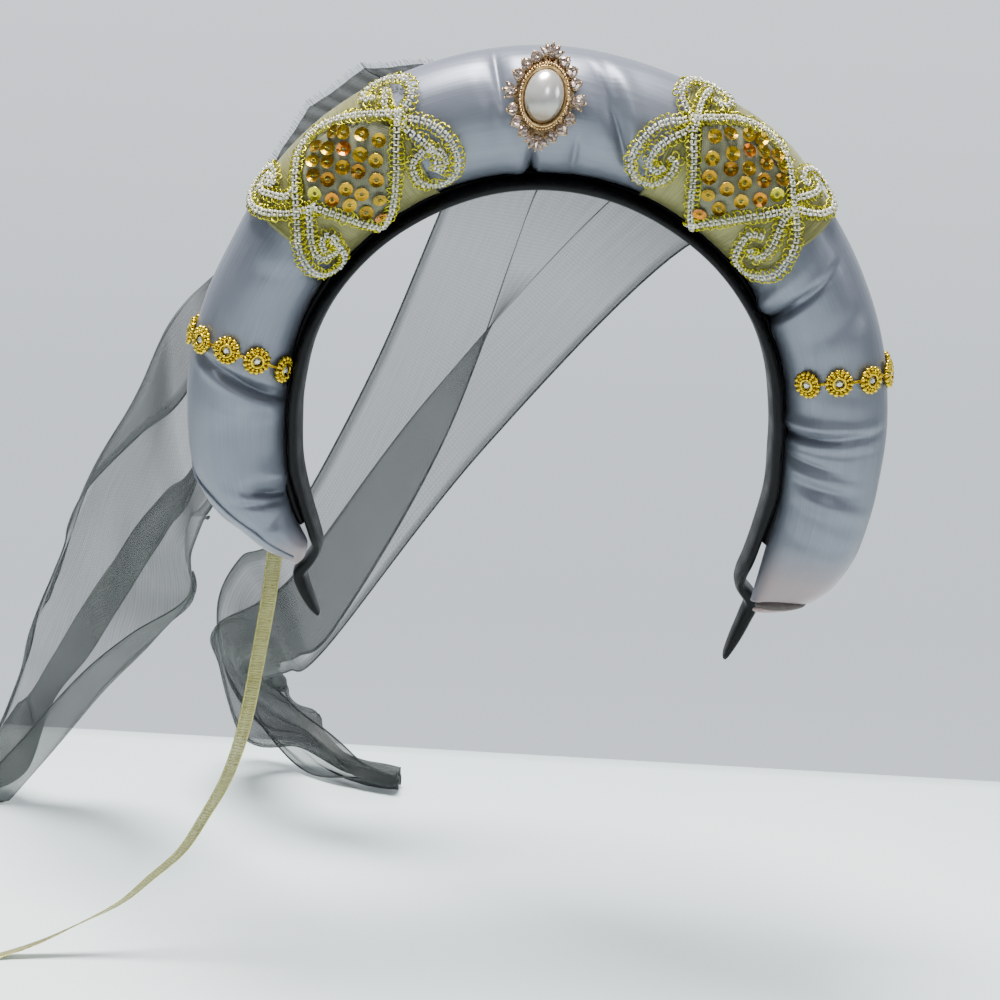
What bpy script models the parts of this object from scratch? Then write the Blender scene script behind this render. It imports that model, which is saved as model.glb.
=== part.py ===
# Tudor headdress: a padded satin roll worn round the head, with gold ornaments, a pearl brooch,
# two flower trims, an organza veil and a gold mesh ribbon.
# Metres, +Z up, the face looks along -Y. The origin is the underside of the band at the crown.
import math
import bpy
import bmesh
import numpy as np

MM = 0.001

# the plane of the ring, its top leaning towards the face
RING_TILT = math.radians(12.0)
SEAT_RADIUS = 69.5

# the padded roll, one row a section from the left end over the crown to the right end, mm and degrees
# outer_angle, outer_radius, inner_angle, inner_radius, half_depth, depth_centre
ROLL_SECTIONS = [
    (-128.1, 96.8, -127.9, 92.6, 2.6, 3.0),
    (-126.2, 98.6, -126.0, 89.4, 5.0, 2.4),
    (-122.3, 102.8, -123.1, 88.9, 8.0, 1.6),
    (-117.5, 106.2, -119.4, 88.7, 10.8, 0.8),
    (-112.7, 110.9, -115.1, 87.2, 13.2, 0.3),
    (-107.4, 113.2, -109.6, 84.8, 15.2, 0.0),
    (-100.0, 113.3, -101.0, 81.9, 16.4, 0.0),
    (-88.0, 112.0, -88.0, 79.8, 17.0, 0.0),
    (-76.0, 110.6, -76.0, 79.2, 17.0, 0.0),
    (-65.0, 109.4, -65.0, 78.4, 17.4, 0.0),
    (-54.0, 110.2, -54.0, 76.4, 18.0, 0.0),
    (-41.0, 111.4, -41.0, 75.4, 18.4, 0.0),
    (-27.0, 112.0, -27.0, 74.8, 18.6, 0.0),
    (-13.0, 112.4, -13.0, 74.2, 18.6, 0.0),
    (0.0, 112.4, 0.0, 74.0, 18.6, 0.0),
    (13.0, 111.6, 13.0, 74.4, 18.6, 0.0),
    (26.0, 111.4, 26.0, 74.8, 18.6, 0.0),
    (39.0, 111.8, 39.0, 74.8, 18.4, 0.0),
    (53.0, 109.8, 53.0, 76.2, 18.0, 0.0),
    (65.0, 109.8, 65.0, 76.6, 17.4, 0.0),
    (77.0, 110.6, 77.0, 77.8, 17.0, 0.0),
    (90.0, 111.8, 90.0, 79.0, 17.0, 0.0),
    (101.0, 113.3, 101.5, 81.4, 16.4, 0.0),
    (107.8, 114.9, 110.5, 85.2, 15.4, 0.0),
    (113.8, 116.2, 119.5, 89.2, 13.6, 0.4),
    (119.6, 115.6, 126.4, 93.8, 10.8, 1.0),
    (123.6, 113.6, 130.8, 97.6, 7.8, 1.6),
]
ROLL_STEPS = 66
ROLL_SIDES = 16
END_SLOPE = 1.7
POCKET_DEPTH = 5.0
POCKET_SCALE = 0.62

# folds of the satin, mm and degrees: a crease and the puff beside it
# angle, around, reach_around, half_width, depth, puff, puff_offset, slant
ROLL_FOLDS = [
    (-5.0, 150.0, 60.0, 1.9, 2.4, 0.6, -5.0, -1.0),
    (-10.0, 45.0, 60.0, 3.0, 1.8, 0.5, 6.0, 1.0),
    (4.2, 125.0, 40.0, 3.0, 1.1, 0.0, 0.0, 0.0),
    (11.6, 92.0, 75.0, 3.2, 2.0, 0.5, 6.0, 9.5),
    (63.6, 140.0, 68.0, 2.3, 3.4, 2.0, -6.0, 5.5),
    (92.6, 138.0, 75.0, 2.1, 2.0, 1.3, -4.5, 1.5),
    (97.6, 125.0, 60.0, 2.6, 0.9, 0.5, 4.0, 0.0),
    (102.0, 100.0, 60.0, 3.0, 0.9, 0.7, 4.5, 0.0),
    (-88.6, 118.0, 62.0, 2.1, 2.8, 1.5, -5.0, -6.0),
    (-110.8, 136.0, 56.0, 3.2, 3.6, 1.2, 6.5, -4.0),
    (-60.5, 168.0, 50.0, 3.0, 1.6, 0.0, 0.0, 3.0),
    (-70.0, 250.0, 80.0, 3.5, 1.6, 0.6, 6.0, 4.0),
    (-20.0, 262.0, 70.0, 3.5, 1.8, 0.6, 6.0, -4.0),
    (66.0, 262.0, 60.0, 3.5, 1.4, 0.6, 6.0, 3.0),
    (84.0, 250.0, 80.0, 3.5, 1.8, 0.6, 6.0, -4.0),
]

# the stiff band inside the roll, one row a section from the left tip to the right tip, mm
# x, y, half_thickness, half_width, depth_centre
BAND_SECTIONS = [
    (-69.0, -81.6, 0.7, 2.4, -8.0),
    (-71.4, -77.6, 1.6, 4.0, -8.0),
    (-74.2, -71.6, 2.1, 5.2, -8.0),
    (-75.4, -66.2, 2.3, 5.4, -8.2),
    (-72.0, -61.4, 1.9, 5.6, -8.0),
    (-69.8, -56.0, 1.8, 6.2, -6.5),
    (-70.9, -49.5, 1.7, 7.6, -4.0),
    (-74.0, -39.0, 1.7, 8.4, -3.0),
    (-77.1, -26.0, 2.2, 9.0, -2.0),
    (-77.6, -13.0, 2.2, 9.6, -1.0),
    (-77.0, 0.0, 2.2, 10.0, 0.0),
    (-73.4, 18.0, 2.2, 10.4, 0.0),
    (-65.2, 34.6, 1.7, 10.8, 0.0),
    (-52.4, 50.0, 1.7, 11.0, 0.0),
    (-36.2, 61.6, 1.7, 11.0, 0.0),
    (-18.5, 69.1, 2.0, 11.0, 0.0),
    (0.0, 71.5, 2.0, 11.0, 0.0),
    (18.5, 69.1, 2.0, 11.0, 0.0),
    (36.2, 61.6, 1.7, 11.0, 0.0),
    (52.4, 50.0, 1.7, 11.0, 0.0),
    (65.0, 34.6, 1.7, 10.8, 0.0),
    (72.9, 18.0, 2.2, 10.4, 0.0),
    (76.3, 0.0, 2.2, 10.0, 0.0),
    (77.2, -13.0, 2.2, 9.6, -1.0),
    (77.4, -26.0, 2.2, 9.0, -2.0),
    (75.0, -39.0, 1.7, 8.4, -3.0),
    (72.6, -50.0, 1.7, 7.6, -4.0),
    (71.0, -58.0, 1.8, 6.4, -8.0),
    (71.6, -63.4, 2.0, 5.6, -11.6),
    (75.6, -69.4, 2.4, 5.2, -12.4),
    (74.0, -76.0, 2.2, 4.8, -12.4),
    (71.4, -83.2, 1.8, 4.2, -12.2),
    (69.2, -89.0, 1.1, 3.2, -12.0),
    (68.6, -91.0, 0.6, 2.0, -12.0),
]

# gold tissue wrapped over the roll: first_angle, last_angle, first_around, last_around
PATCH_SPANS = {"left": (-56.5, -27.0, -135.0, 157.5), "right": (21.0, 52.5, -135.0, 157.5)}
PATCH_UNDER = 0.4
PATCH_OVER = 1.5

# the sequined net inside each braid square: its four corners on the roll, angle and around,
# rounded corner, crossing towards the crown, plain corner, crossing towards the ear
NET_CORNERS = {
    "left": ((-40.6, 39.0), (-30.6, 72.0), (-40.6, 138.0), (-47.2, 79.0)),
    "right": ((36.8, 39.0), (26.6, 63.0), (33.6, 130.0), (43.4, 68.0)),
}
NET_BULGE = 7.0
NET_UNDER = 1.8
NET_OVER = 2.8
SEQUIN_RADIUS = 2.0
SEQUIN_TOP = 3.7
SEQUIN_GRID = 5

# the braid, one list a strand, angle and around on the roll
BRAID_STRANDS = {
    "left": [
        [(-26.6, 61), (-30.5, 52), (-34.0, 42), (-37.8, 33), (-41.2, 30), (-44.0, 35), (-46.0, 46), (-48.4, 60),
         (-51.2, 76), (-55.4, 93), (-58.0, 108), (-59.2, 124), (-58.6, 140), (-55.8, 147), (-52.8, 139),
         (-51.0, 122)],
        [(-26.9, 58), (-28.6, 75), (-30.5, 91), (-32.5, 106), (-35.5, 123), (-38.6, 137), (-41.6, 147)],
        [(-43.0, 149), (-42.9, 141), (-44.0, 128), (-45.4, 112), (-46.9, 97), (-48.8, 83), (-51.4, 92),
         (-53.6, 101), (-55.0, 112), (-54.8, 121)],
        [(-48.4, 60), (-50.4, 60), (-52.0, 50), (-53.0, 38)],
        [(-48.0, 84), (-50.4, 78), (-52.8, 69), (-54.8, 57), (-56.0, 42), (-56.0, 26), (-54.6, 12), (-52.0, 8),
         (-50.0, 18), (-49.8, 30)],
        [(-27.5, 65), (-28.6, 55), (-28.4, 44), (-27.8, 36)],
        [(-27.5, 65), (-25.4, 58), (-24.0, 49), (-23.8, 37), (-25.2, 26), (-27.8, 20), (-30.6, 22), (-31.6, 31)],
        [(-27.5, 65), (-26.6, 76), (-25.2, 86), (-24.2, 97), (-24.2, 106)],
        [(-27.5, 65), (-25.0, 69), (-22.6, 77), (-20.8, 88), (-19.8, 101), (-20.0, 115), (-21.6, 127),
         (-24.4, 133), (-27.2, 130), (-28.4, 119)],
    ],
    "right": [
        [(22.8, 58), (25.8, 49), (28.8, 39), (31.8, 32), (34.8, 29), (37.8, 32), (40.4, 41), (42.8, 52), (45.0, 62),
         (47.4, 69), (50.2, 79), (52.4, 93), (53.8, 109), (53.2, 126), (50.6, 139), (47.0, 136), (44.8, 121)],
        [(23.3, 50), (24.2, 71), (26.2, 87), (28.5, 104), (30.8, 121), (33.5, 137), (35.2, 146)],
        [(34.6, 149), (35.2, 140), (37.0, 125), (39.5, 109), (41.8, 95), (43.8, 82), (45.8, 67)],
        [(45.8, 65), (46.0, 77), (47.2, 88), (48.6, 99), (49.0, 110)],
        [(45.8, 65), (48.6, 53), (50.4, 39), (50.8, 24), (49.6, 10), (47.0, 6), (44.8, 16)],
        [(44.6, 60), (45.8, 49), (46.6, 37)],
        [(23.5, 57), (21.6, 53), (19.8, 42), (19.8, 28), (21.2, 15), (23.8, 9), (26.6, 12), (27.8, 22)],
        [(23.5, 57), (23.2, 43), (23.4, 31)],
        [(23.5, 55), (21.4, 63), (18.8, 70), (16.8, 82), (15.6, 97), (15.8, 113), (18.2, 125), (21.4, 124),
         (23.4, 112)],
        [(23.5, 57), (22.8, 69), (21.0, 79), (19.4, 90), (18.8, 100)],
    ],
}
BRAID_HALF_WIDTH = 1.55
BRAID_BOTTOM = 1.8
BRAID_TOP = 4.1
BRAID_STEP = 5.1
BRAID_UNDER = 0.08

# the oval brooch over the crown
BROOCH_ANGLE = -2.4
BROOCH_AROUND = 70.5
BROOCH_LIFT = 0.7
BROOCH_TURN = 6.7
BROOCH_LOBES = 16
# half_width, half_height, height, scallop: one row a ring of the setting from the back to the pearl's seat
BROOCH_RINGS = [
    (10.6, 14.1, 0.0, 0.05),
    (11.0, 14.6, 1.3, 0.08),
    (10.1, 13.2, 2.2, 0.03),
    (9.5, 12.2, 1.7, 0.0),
    (8.7, 11.2, 3.0, 0.0),
    (7.6, 10.2, 2.7, 0.0),
    (7.5, 10.0, 1.2, 0.0),
]
# the four clusters on the border: degrees round the oval, spread, extra reach in mm
BROOCH_CLUSTERS = [(0.0, 13.0, 0.9), (90.0, 11.0, 1.2), (180.0, 13.0, 0.9), (270.0, 12.0, 1.2)]
STONE_RADIUS = 0.95
STONE_HEIGHT = 1.0
PEARL_HALF_WIDTH = 7.15
PEARL_HALF_HEIGHT = 9.6
PEARL_RISE = 6.4
PEARL_GAP = 0.3

# flower trims round the roll: angle and around of each flower
TRIM_FLOWERS = {
    "left": [(-84.2, 148), (-81.9, 111), (-80.9, 78), (-80.9, 44), (-81.2, 10), (-81.6, -25), (-82.0, -60)],
    "right": [(80.0, 124), (79.8, 91), (80.4, 56), (81.0, 21), (81.2, -14), (81.4, -49)],
}
FLOWER_SIDES = 9
# radius, lift: one row a ring of a flower and its cut stone
FLOWER_RINGS = [(4.1, 0.5), (4.3, 1.5), (1.7, 2.1), (0.95, 3.2)]
LINK_HALF_WIDTH = 0.7
LINK_LIFTS = (0.8, 1.5)

# the veil: millimetres in the object's own axes
VEIL_WALL = 1.0
VEIL_GAP = 2.4
VEIL_REACH = 2.6
VEIL_BACKS = {"left": -21.2, "back": -23.5}
# each fold line of the sheet drawn out to the left: heading and gather on the ring, then its points
# heading_angle, heading_radius, heading_depth, gather_angle
LEFT_TAIL_HEADING = [
    (-66.0, 107.0, -19.0, -64.0),
    (-57.0, 109.5, -18.0, -57.0),
    (-49.0, 112.5, -16.0, -50.0),
    (-41.8, 115.8, -16.0, -42.0),
    (-31.1, 116.4, -16.0, -32.0),
    (-20.0, 109.0, -17.0, -20.0),
]
# x, y, z
LEFT_TAIL_LINES = [
    [
        (-102.7, 39.6, -50), (-117.4, 34, -77), (-134, 59.2, -92.1), (-156, 87.9, -117),
        (-171, 120.7, -141.9), (-185.7, 152.2, -173.1), (-194, 175.1, -198.8), (-209, 196.1, -233.1),
        (-227, 213.1, -250),
    ],
    [
        (-109.3, 42.8, -35.9), (-122.2, 41.4, -54), (-134.6, 61, -80), (-154.3, 91.9, -109.8),
        (-172.2, 125.8, -147.2), (-188.8, 155.5, -183.6), (-197.6, 175.9, -207.9),
        (-212.4, 192.6, -238.6), (-233.5, 214, -255.5),
    ],
    [
        (-99.9, 49.2, -58), (-112.5, 42.7, -104.6), (-124.6, 66, -124.4), (-138.9, 94.3, -147.3),
        (-153.7, 124.7, -171.9), (-166.5, 153.6, -192.1), (-184, 180, -217.1), (-199, 205.3, -252.4),
        (-214.6, 209.3, -263.2),
    ],
    [
        (-95, 50.4, -50.6), (-113, 57.8, -99.2), (-125, 74, -113.5), (-140, 93.2, -131.9),
        (-155.9, 128.2, -152.8), (-173, 163.1, -175.8), (-190, 186, -203.3), (-209.4, 211.8, -234),
        (-228.2, 217.1, -258.9),
    ],
    [
        (-87, 49.4, -52), (-106.1, 44.9, -106.9), (-116.6, 64.1, -120.4), (-120.9, 90.7, -137.1),
        (-122.3, 123.2, -159.3), (-144.1, 165.7, -185.2), (-169.1, 191, -214.1),
        (-206.1, 198.2, -263.2), (-215.3, 188.5, -263.6),
    ],
    [
        (-77, 44.9, -46.3), (-104, 38.2, -109.4), (-109.9, 54.7, -117.1), (-117.3, 83.7, -135.3),
        (-123.2, 116.5, -159.2), (-148.8, 144.5, -180.6), (-172.8, 164, -203.7),
        (-207.8, 190.7, -245.5), (-222.2, 195.5, -254.3),
    ],
]
BACK_TAIL_HEADING = [
    (-9.0, 108.0, -20.0, -8.0),
    (14.0, 108.0, -20.0, 14.0),
    (36.0, 108.0, -20.0, 36.0),
    (58.0, 106.0, -20.0, 58.0),
]
BACK_TAIL_LINES = [
    [
        (-30.1, 81.1, 6), (-59.8, 127, -70.1), (-92.2, 149, -135.8), (-112.1, 183.8, -153.9),
        (-124.8, 225.1, -182), (-125.1, 270.9, -223), (-109, 284.8, -253), (-89, 267.8, -262.9),
        (-69, 253.5, -263.5), (-48, 247.4, -263.5),
    ],
    [
        (0, 93.6, 7.8), (-32, 146.4, -95.3), (-73, 174.2, -177.1), (-88.9, 188.2, -193.1),
        (-101, 217.8, -203.9), (-106.2, 251.2, -215.4), (-99.3, 274.6, -231.1), (-83.8, 277.7, -245.6),
        (-66.1, 265.5, -256.1), (-46.9, 259.5, -258.9),
    ],
    [
        (24.7, 84.3, -1.3), (-38.2, 127.3, -79.7), (-84.3, 143, -149.5), (-104.5, 173.3, -170.5),
        (-123.8, 205.1, -186.9), (-124.6, 230.7, -209.3), (-113.9, 254.5, -243.5),
        (-92, 268.1, -250.6), (-68, 254.1, -258.1), (-48, 245.9, -258.9),
    ],
    [
        (48, 72.2, -18), (-18.1, 123.6, -98.1), (-73.8, 141.2, -180), (-89.2, 171.1, -195.7),
        (-101.8, 205.6, -206.6), (-105.2, 236.5, -216.4), (-99.8, 260.6, -227.6),
        (-86.2, 263.3, -241.4), (-68.9, 247.9, -252.6), (-49.1, 240.1, -255.2),
    ],
]

# the flat gold ribbon: x, y, z, turn of its width about its own line
RIBBON_POINTS = [
    (-83.0, 33.2, -117.6, 20), (-83.9, 34.2, -125.0, 20), (-85.2, 33.6, -139.9, 25), (-87.6, 32.4, -159.2, 30),
    (-90.1, 31.2, -177.2, 35), (-92.7, 30.2, -190.5, 40), (-96.8, 29.0, -203.2, 45), (-102.6, 28.0, -214.6, 50),
    (-110.0, 27.0, -227.3, 55), (-120.2, 26.0, -237.3, 60), (-129.9, 25.0, -246.2, 68), (-144.0, 23.0, -254.1, 78),
    (-156.2, 21.0, -260.2, 86), (-168.0, 18.0, -264.2, 90), (-176.2, 12.0, -264.3, 90),
]
RIBBON_WIDTH = 5.5
RIBBON_THICKNESS = 1.0


def on_circle(angle, radius):
    a = np.radians(angle)
    return np.stack([radius * np.sin(a), radius * np.cos(a)], axis=-1)


def from_ring(x, y, depth):
    # a point of the ring's own plane, depth counted towards the face, as object millimetres
    x, y, depth = np.broadcast_arrays(x, y, depth)
    sin_t = math.sin(RING_TILT)
    cos_t = math.cos(RING_TILT)
    up = y - SEAT_RADIUS
    return np.stack([x, -up * sin_t - depth * cos_t, up * cos_t - depth * sin_t], axis=-1)


def smooth_rows(rows, t):
    # the rows of a table joined by a smooth curve, t counted in rows
    rows = np.asarray(rows, float)
    t = np.clip(np.asarray(t, float), 0.0, len(rows) - 1.0)
    i = np.minimum(t.astype(int), len(rows) - 2)
    f = t - i
    f = f.reshape(f.shape + (1,) * (rows.ndim - 1))
    p0 = rows[np.maximum(i - 1, 0)]
    p1 = rows[i]
    p2 = rows[i + 1]
    p3 = rows[np.minimum(i + 2, len(rows) - 1)]
    bend = 2 * p0 - 5 * p1 + 4 * p2 - p3
    twist = 3 * p1 - p0 - 3 * p2 + p3
    return p1 + 0.5 * f * ((p2 - p0) + f * (bend + f * twist))


def even_points(points, step):
    # a smooth curve through the points, cut to pieces of about the same length
    points = np.asarray(points, float)
    fine = smooth_rows(points, np.linspace(0, len(points) - 1, 12 * len(points)))
    run = np.concatenate([[0], np.cumsum(np.linalg.norm(np.diff(fine, axis=0), axis=1))])
    count = max(2, int(round(run[-1] / step)) + 1)
    at = np.linspace(0, run[-1], count)
    return np.stack([np.interp(at, run, fine[:, k]) for k in range(fine.shape[1])], axis=-1)


def unit(v):
    return v / np.maximum(np.linalg.norm(v, axis=-1, keepdims=True), 1e-9)


def roll_table():
    table = np.array(ROLL_SECTIONS)
    outer = on_circle(table[:, 0], table[:, 1])
    inner = on_circle(table[:, 2], table[:, 3])
    centre = (outer + inner) / 2
    half = (outer - inner) / 2
    angle = np.degrees(np.arctan2(centre[:, 0], centre[:, 1]))
    return angle, np.hstack([centre, half, table[:, 4:6]])


ROLL_ANGLES, ROLL_ROWS = roll_table()


def fold_lift(angle, around):
    lift = np.zeros(np.broadcast(angle, around).shape)
    for row in ROLL_FOLDS:
        at, at_around, reach, width, depth, puff, puff_offset, slant = row
        off = (around - at_around + 180.0) % 360.0 - 180.0
        fade = np.clip(1.0 - np.abs(off) / reach, 0.0, 1.0)
        fade = fade * fade * (3 - 2 * fade)
        along = np.radians(angle - at - slant * off / 90.0) * 95.0
        crease = np.exp(-(along / width) ** 2)
        rise = np.exp(-((along - puff_offset) / (1.6 * width)) ** 2)
        lift = lift + fade * (puff * rise - depth * crease)
    return lift


def on_roll(angle, around, lift=0.0):
    # a point of the roll's surface: around is 0 on the outside, 90 on the face side, 180 inside
    angle, around, lift = np.broadcast_arrays(np.asarray(angle, float), around, lift)
    t = np.interp(angle, ROLL_ANGLES, np.arange(len(ROLL_ANGLES)))
    row = smooth_rows(ROLL_ROWS, t)
    half = np.hypot(row[..., 2], row[..., 3])
    across = row[..., 2:4] / half[..., None]
    turn = np.radians(around)
    n_out = np.cos(turn) / half
    n_depth = np.sin(turn) / row[..., 4]
    size = np.hypot(n_out, n_depth)
    rise = lift + fold_lift(angle, around)
    out = np.cos(turn) * half + rise * n_out / size
    depth = np.sin(turn) * row[..., 4] + rise * n_depth / size
    ramp = np.clip(t - (len(ROLL_ANGLES) - 3), 0.0, 2.0) / 2.0
    slip = -END_SLOPE * np.sin(turn) * ramp * ramp
    x = row[..., 0] + across[..., 0] * out + across[..., 1] * slip
    y = row[..., 1] + across[..., 1] * out - across[..., 0] * slip
    return from_ring(x, y, row[..., 5] + depth)


def roll_normal(angle, around):
    angle = np.asarray(angle, float)
    around = np.asarray(around, float)
    along = on_roll(angle + 0.4, around) - on_roll(angle - 0.4, around)
    round_ = on_roll(angle, around + 1.0) - on_roll(angle, around - 1.0)
    return unit(np.cross(round_, along))


def roll_steps():
    # section angles, closer together at the folds and the ends
    fine = np.linspace(ROLL_ANGLES[0], ROLL_ANGLES[-1], 2000)
    density = np.full(fine.shape, 1.0)
    for row in ROLL_FOLDS:
        density = density + 0.35 * row[4] * np.exp(-((fine - row[0]) / 3.2) ** 2)
    density = density + 1.2 * np.exp(-((np.abs(fine) - 124.0) / 6.0) ** 2)
    run = np.concatenate([[0], np.cumsum((density[1:] + density[:-1]) / 2)])
    return np.interp(np.linspace(0, run[-1], ROLL_STEPS), run, fine)


# blender objects
def make_material(name, colour, metallic, roughness):
    material = bpy.data.materials.new(name)
    material.use_nodes = True
    shader = material.node_tree.nodes["Principled BSDF"]
    shader.inputs["Base Color"].default_value = (colour[0], colour[1], colour[2], 1.0)
    shader.inputs["Metallic"].default_value = metallic
    shader.inputs["Roughness"].default_value = roughness
    return material


def make_object(name, points, faces, look):
    mesh = bpy.data.meshes.new(name)
    points = np.asarray(points, float) * MM
    mesh.from_pydata([tuple(p) for p in points], [], faces)
    shape = bmesh.new()
    shape.from_mesh(mesh)
    bmesh.ops.recalc_face_normals(shape, faces=shape.faces)
    shape.to_mesh(mesh)
    shape.free()
    obj = bpy.data.objects.new(name, mesh)
    bpy.context.scene.collection.objects.link(obj)
    if look:
        mesh.materials.append(make_material(name + "_look", *look))
    return obj


def rings_shape(rings, closed=False):
    # closed rings of points joined to a solid, the first and last closed by a fan
    count = len(rings)
    sides = len(rings[0])
    points = [p for ring in rings for p in ring]
    faces = []
    for i in range(count - 1 + closed):
        j = (i + 1) % count
        for k in range(sides):
            m = (k + 1) % sides
            faces.append((i * sides + k, i * sides + m, j * sides + m, j * sides + k))
    if not closed:
        for i in (0, count - 1):
            points.append(np.mean(rings[i], axis=0))
            top = len(points) - 1
            for k in range(sides):
                faces.append((i * sides + k, i * sides + (k + 1) % sides, top))
    return points, faces


def sheet_shape(front, back):
    # two grids of points joined along their rims to a thin solid
    rows, columns = front.shape[:2]
    points = list(front.reshape(-1, 3)) + list(back.reshape(-1, 3))
    middle = (front.reshape(-1, 3) + back.reshape(-1, 3)) / 2
    size = rows * columns
    faces = []
    for i in range(rows - 1):
        for j in range(columns - 1):
            a = i * columns + j
            b, c, d = a + 1, a + columns + 1, a + columns
            # both sides are split along the same, shorter diagonal, so the wall keeps its thickness
            if np.linalg.norm(middle[a] - middle[c]) <= np.linalg.norm(middle[b] - middle[d]):
                halves = ((a, b, c), (a, c, d))
            else:
                halves = ((a, b, d), (b, c, d))
            for half in halves:
                faces.append(half)
                faces.append(tuple(size + k for k in reversed(half)))
    rim = [i for i in range(columns)]
    rim += [i * columns + columns - 1 for i in range(1, rows)]
    rim += [(rows - 1) * columns + j for j in range(columns - 2, -1, -1)]
    rim += [i * columns for i in range(rows - 2, 0, -1)]
    for k in range(len(rim)):
        a = rim[k]
        b = rim[(k + 1) % len(rim)]
        faces.append((a, b, size + b, size + a))
    return points, faces


def join_shapes(shapes):
    points = []
    faces = []
    for more_points, more_faces in shapes:
        start = len(points)
        points += list(more_points)
        faces += [tuple(start + k for k in face) for face in more_faces]
    return points, faces


def unite(base, others):
    # one solid out of several that overlap
    for other in others:
        step = base.modifiers.new("unite", "BOOLEAN")
        step.operation = "UNION"
        step.solver = "EXACT"
        step.object = other
        graph = bpy.context.evaluated_depsgraph_get()
        mesh = bpy.data.meshes.new_from_object(base.evaluated_get(graph))
        base.modifiers.clear()
        old = base.data
        base.data = mesh
        bpy.data.meshes.remove(old)
        bpy.data.objects.remove(other)
    return base


def tidy_solid(obj, distance=0.004):
    shape = bmesh.new()
    shape.from_mesh(obj.data)
    bmesh.ops.remove_doubles(shape, verts=shape.verts, dist=distance * MM)
    bmesh.ops.dissolve_degenerate(shape, edges=shape.edges, dist=distance * MM)
    bmesh.ops.triangulate(shape, faces=shape.faces)
    bmesh.ops.recalc_face_normals(shape, faces=shape.faces)
    shape.to_mesh(obj.data)
    shape.free()
    return obj


def build_roll():
    around = np.arange(ROLL_SIDES) * 360.0 / ROLL_SIDES
    rings = [on_roll(np.full(ROLL_SIDES, angle), around) for angle in roll_steps()]
    # the open right end, folded in to a shallow pocket
    end = rings[-1]
    middle = end.mean(axis=0)
    inward = unit(rings[-3].mean(axis=0) - middle)
    rings.append(middle + (end - middle) * POCKET_SCALE + inward * 0.4)
    rings.append(middle + (end - middle) * (POCKET_SCALE - 0.12) + inward * POCKET_DEPTH)
    return make_object("roll", *rings_shape(rings), ((0.30, 0.35, 0.41), 0.0, 0.42))


def build_band():
    rings = []
    rows = smooth_rows(BAND_SECTIONS, np.arange(0, len(BAND_SECTIONS) - 0.5, 1.0))
    line = rows[:, :2]
    for i in range(len(rows)):
        ahead = unit(line[min(i + 1, len(rows) - 1)] - line[max(i - 1, 0)])
        out = np.array([-ahead[1], ahead[0]])
        thick, wide, centre = rows[i, 2:5]
        ring = []
        for s, w in ((1, 0.8), (0, 1), (-1, 0.8), (-1, -0.8), (0, -1), (1, -0.8)):
            p = line[i] + out * thick * s
            ring.append(from_ring(p[0], p[1], centre + wide * w))
        rings.append(np.array(ring))
    return make_object("band", *rings_shape(rings), ((0.012, 0.012, 0.013), 0.0, 0.7))


def build_patch(side):
    first, last, low, high = PATCH_SPANS[side]
    angle, around = np.meshgrid(np.linspace(first, last, 7), np.linspace(low, high, 14), indexing="ij")
    shape = sheet_shape(on_roll(angle, around, PATCH_OVER), on_roll(angle, around, PATCH_UNDER))
    return make_object("patch_" + side, *shape, ((0.42, 0.38, 0.20), 0.6, 0.45))


def net_point(side, u, v):
    # the square net: u from the side facing the crown, v from the outer side
    rounded, crown, plain, ear = [np.array(c) for c in NET_CORNERS[side]]
    flat = rounded * (1 - u) * (1 - v) + crown * u * (1 - v) + plain * u * v + ear * (1 - u) * v
    bow = np.array([0.0, -NET_BULGE]) * (math.sin(math.pi * u) * (1 - v) + math.sin(math.pi * v) * (1 - u))
    return flat + bow


def build_sequins(side):
    # the net's front is a grid of cells, each with an eight-sided sequin raised out of it
    count = SEQUIN_GRID
    steps = np.linspace(0, 1, count + 1)
    grid = np.array([[net_point(side, u, v) for v in steps] for u in steps])
    front = on_roll(grid[..., 0], grid[..., 1], NET_OVER)
    back = on_roll(grid[..., 0], grid[..., 1], NET_UNDER)
    points, faces = sheet_shape(front, back)
    faces = [face for face in faces if max(face) >= (count + 1) ** 2]
    points = list(points)
    for i in range(count):
        for j in range(count):
            a = i * (count + 1) + j
            cell = (a, a + 1, a + count + 2, a + count + 1)
            if i == 0 and j == 0:
                faces.append(cell)
                continue
            around = net_point(side, (i + 0.5) / count, (j + 0.5) / count)
            centre = on_roll(*around)
            up = roll_normal(*around)
            start = len(points)
            across = [unit(points[k] - centre - up * np.dot(points[k] - centre, up)) for k in cell]
            edge = []
            for k in range(4):
                here = across[k]
                before = across[k - 1]
                after = across[(k + 1) % 4]
                edge.append(unit(here * 0.66 + before * 0.34))
                edge.append(unit(here * 0.66 + after * 0.34))
            points += [centre + e * SEQUIN_RADIUS + up * NET_OVER for e in edge]
            points += [centre + e * SEQUIN_RADIUS * 0.94 + up * SEQUIN_TOP for e in edge]
            for k in range(4):
                m = (k + 1) % 4
                faces.append((cell[k], start + 2 * k, start + 2 * k + 1))
                faces.append((cell[k], start + 2 * k + 1, start + 2 * m, cell[m]))
            for k in range(8):
                m = (k + 1) % 8
                faces.append((start + k, start + m, start + 8 + m, start + 8 + k))
            faces.append(tuple(start + 8 + k for k in range(8)))
    return make_object("sequins_" + side, points, faces, ((0.55, 0.34, 0.07), 0.8, 0.3))


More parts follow.
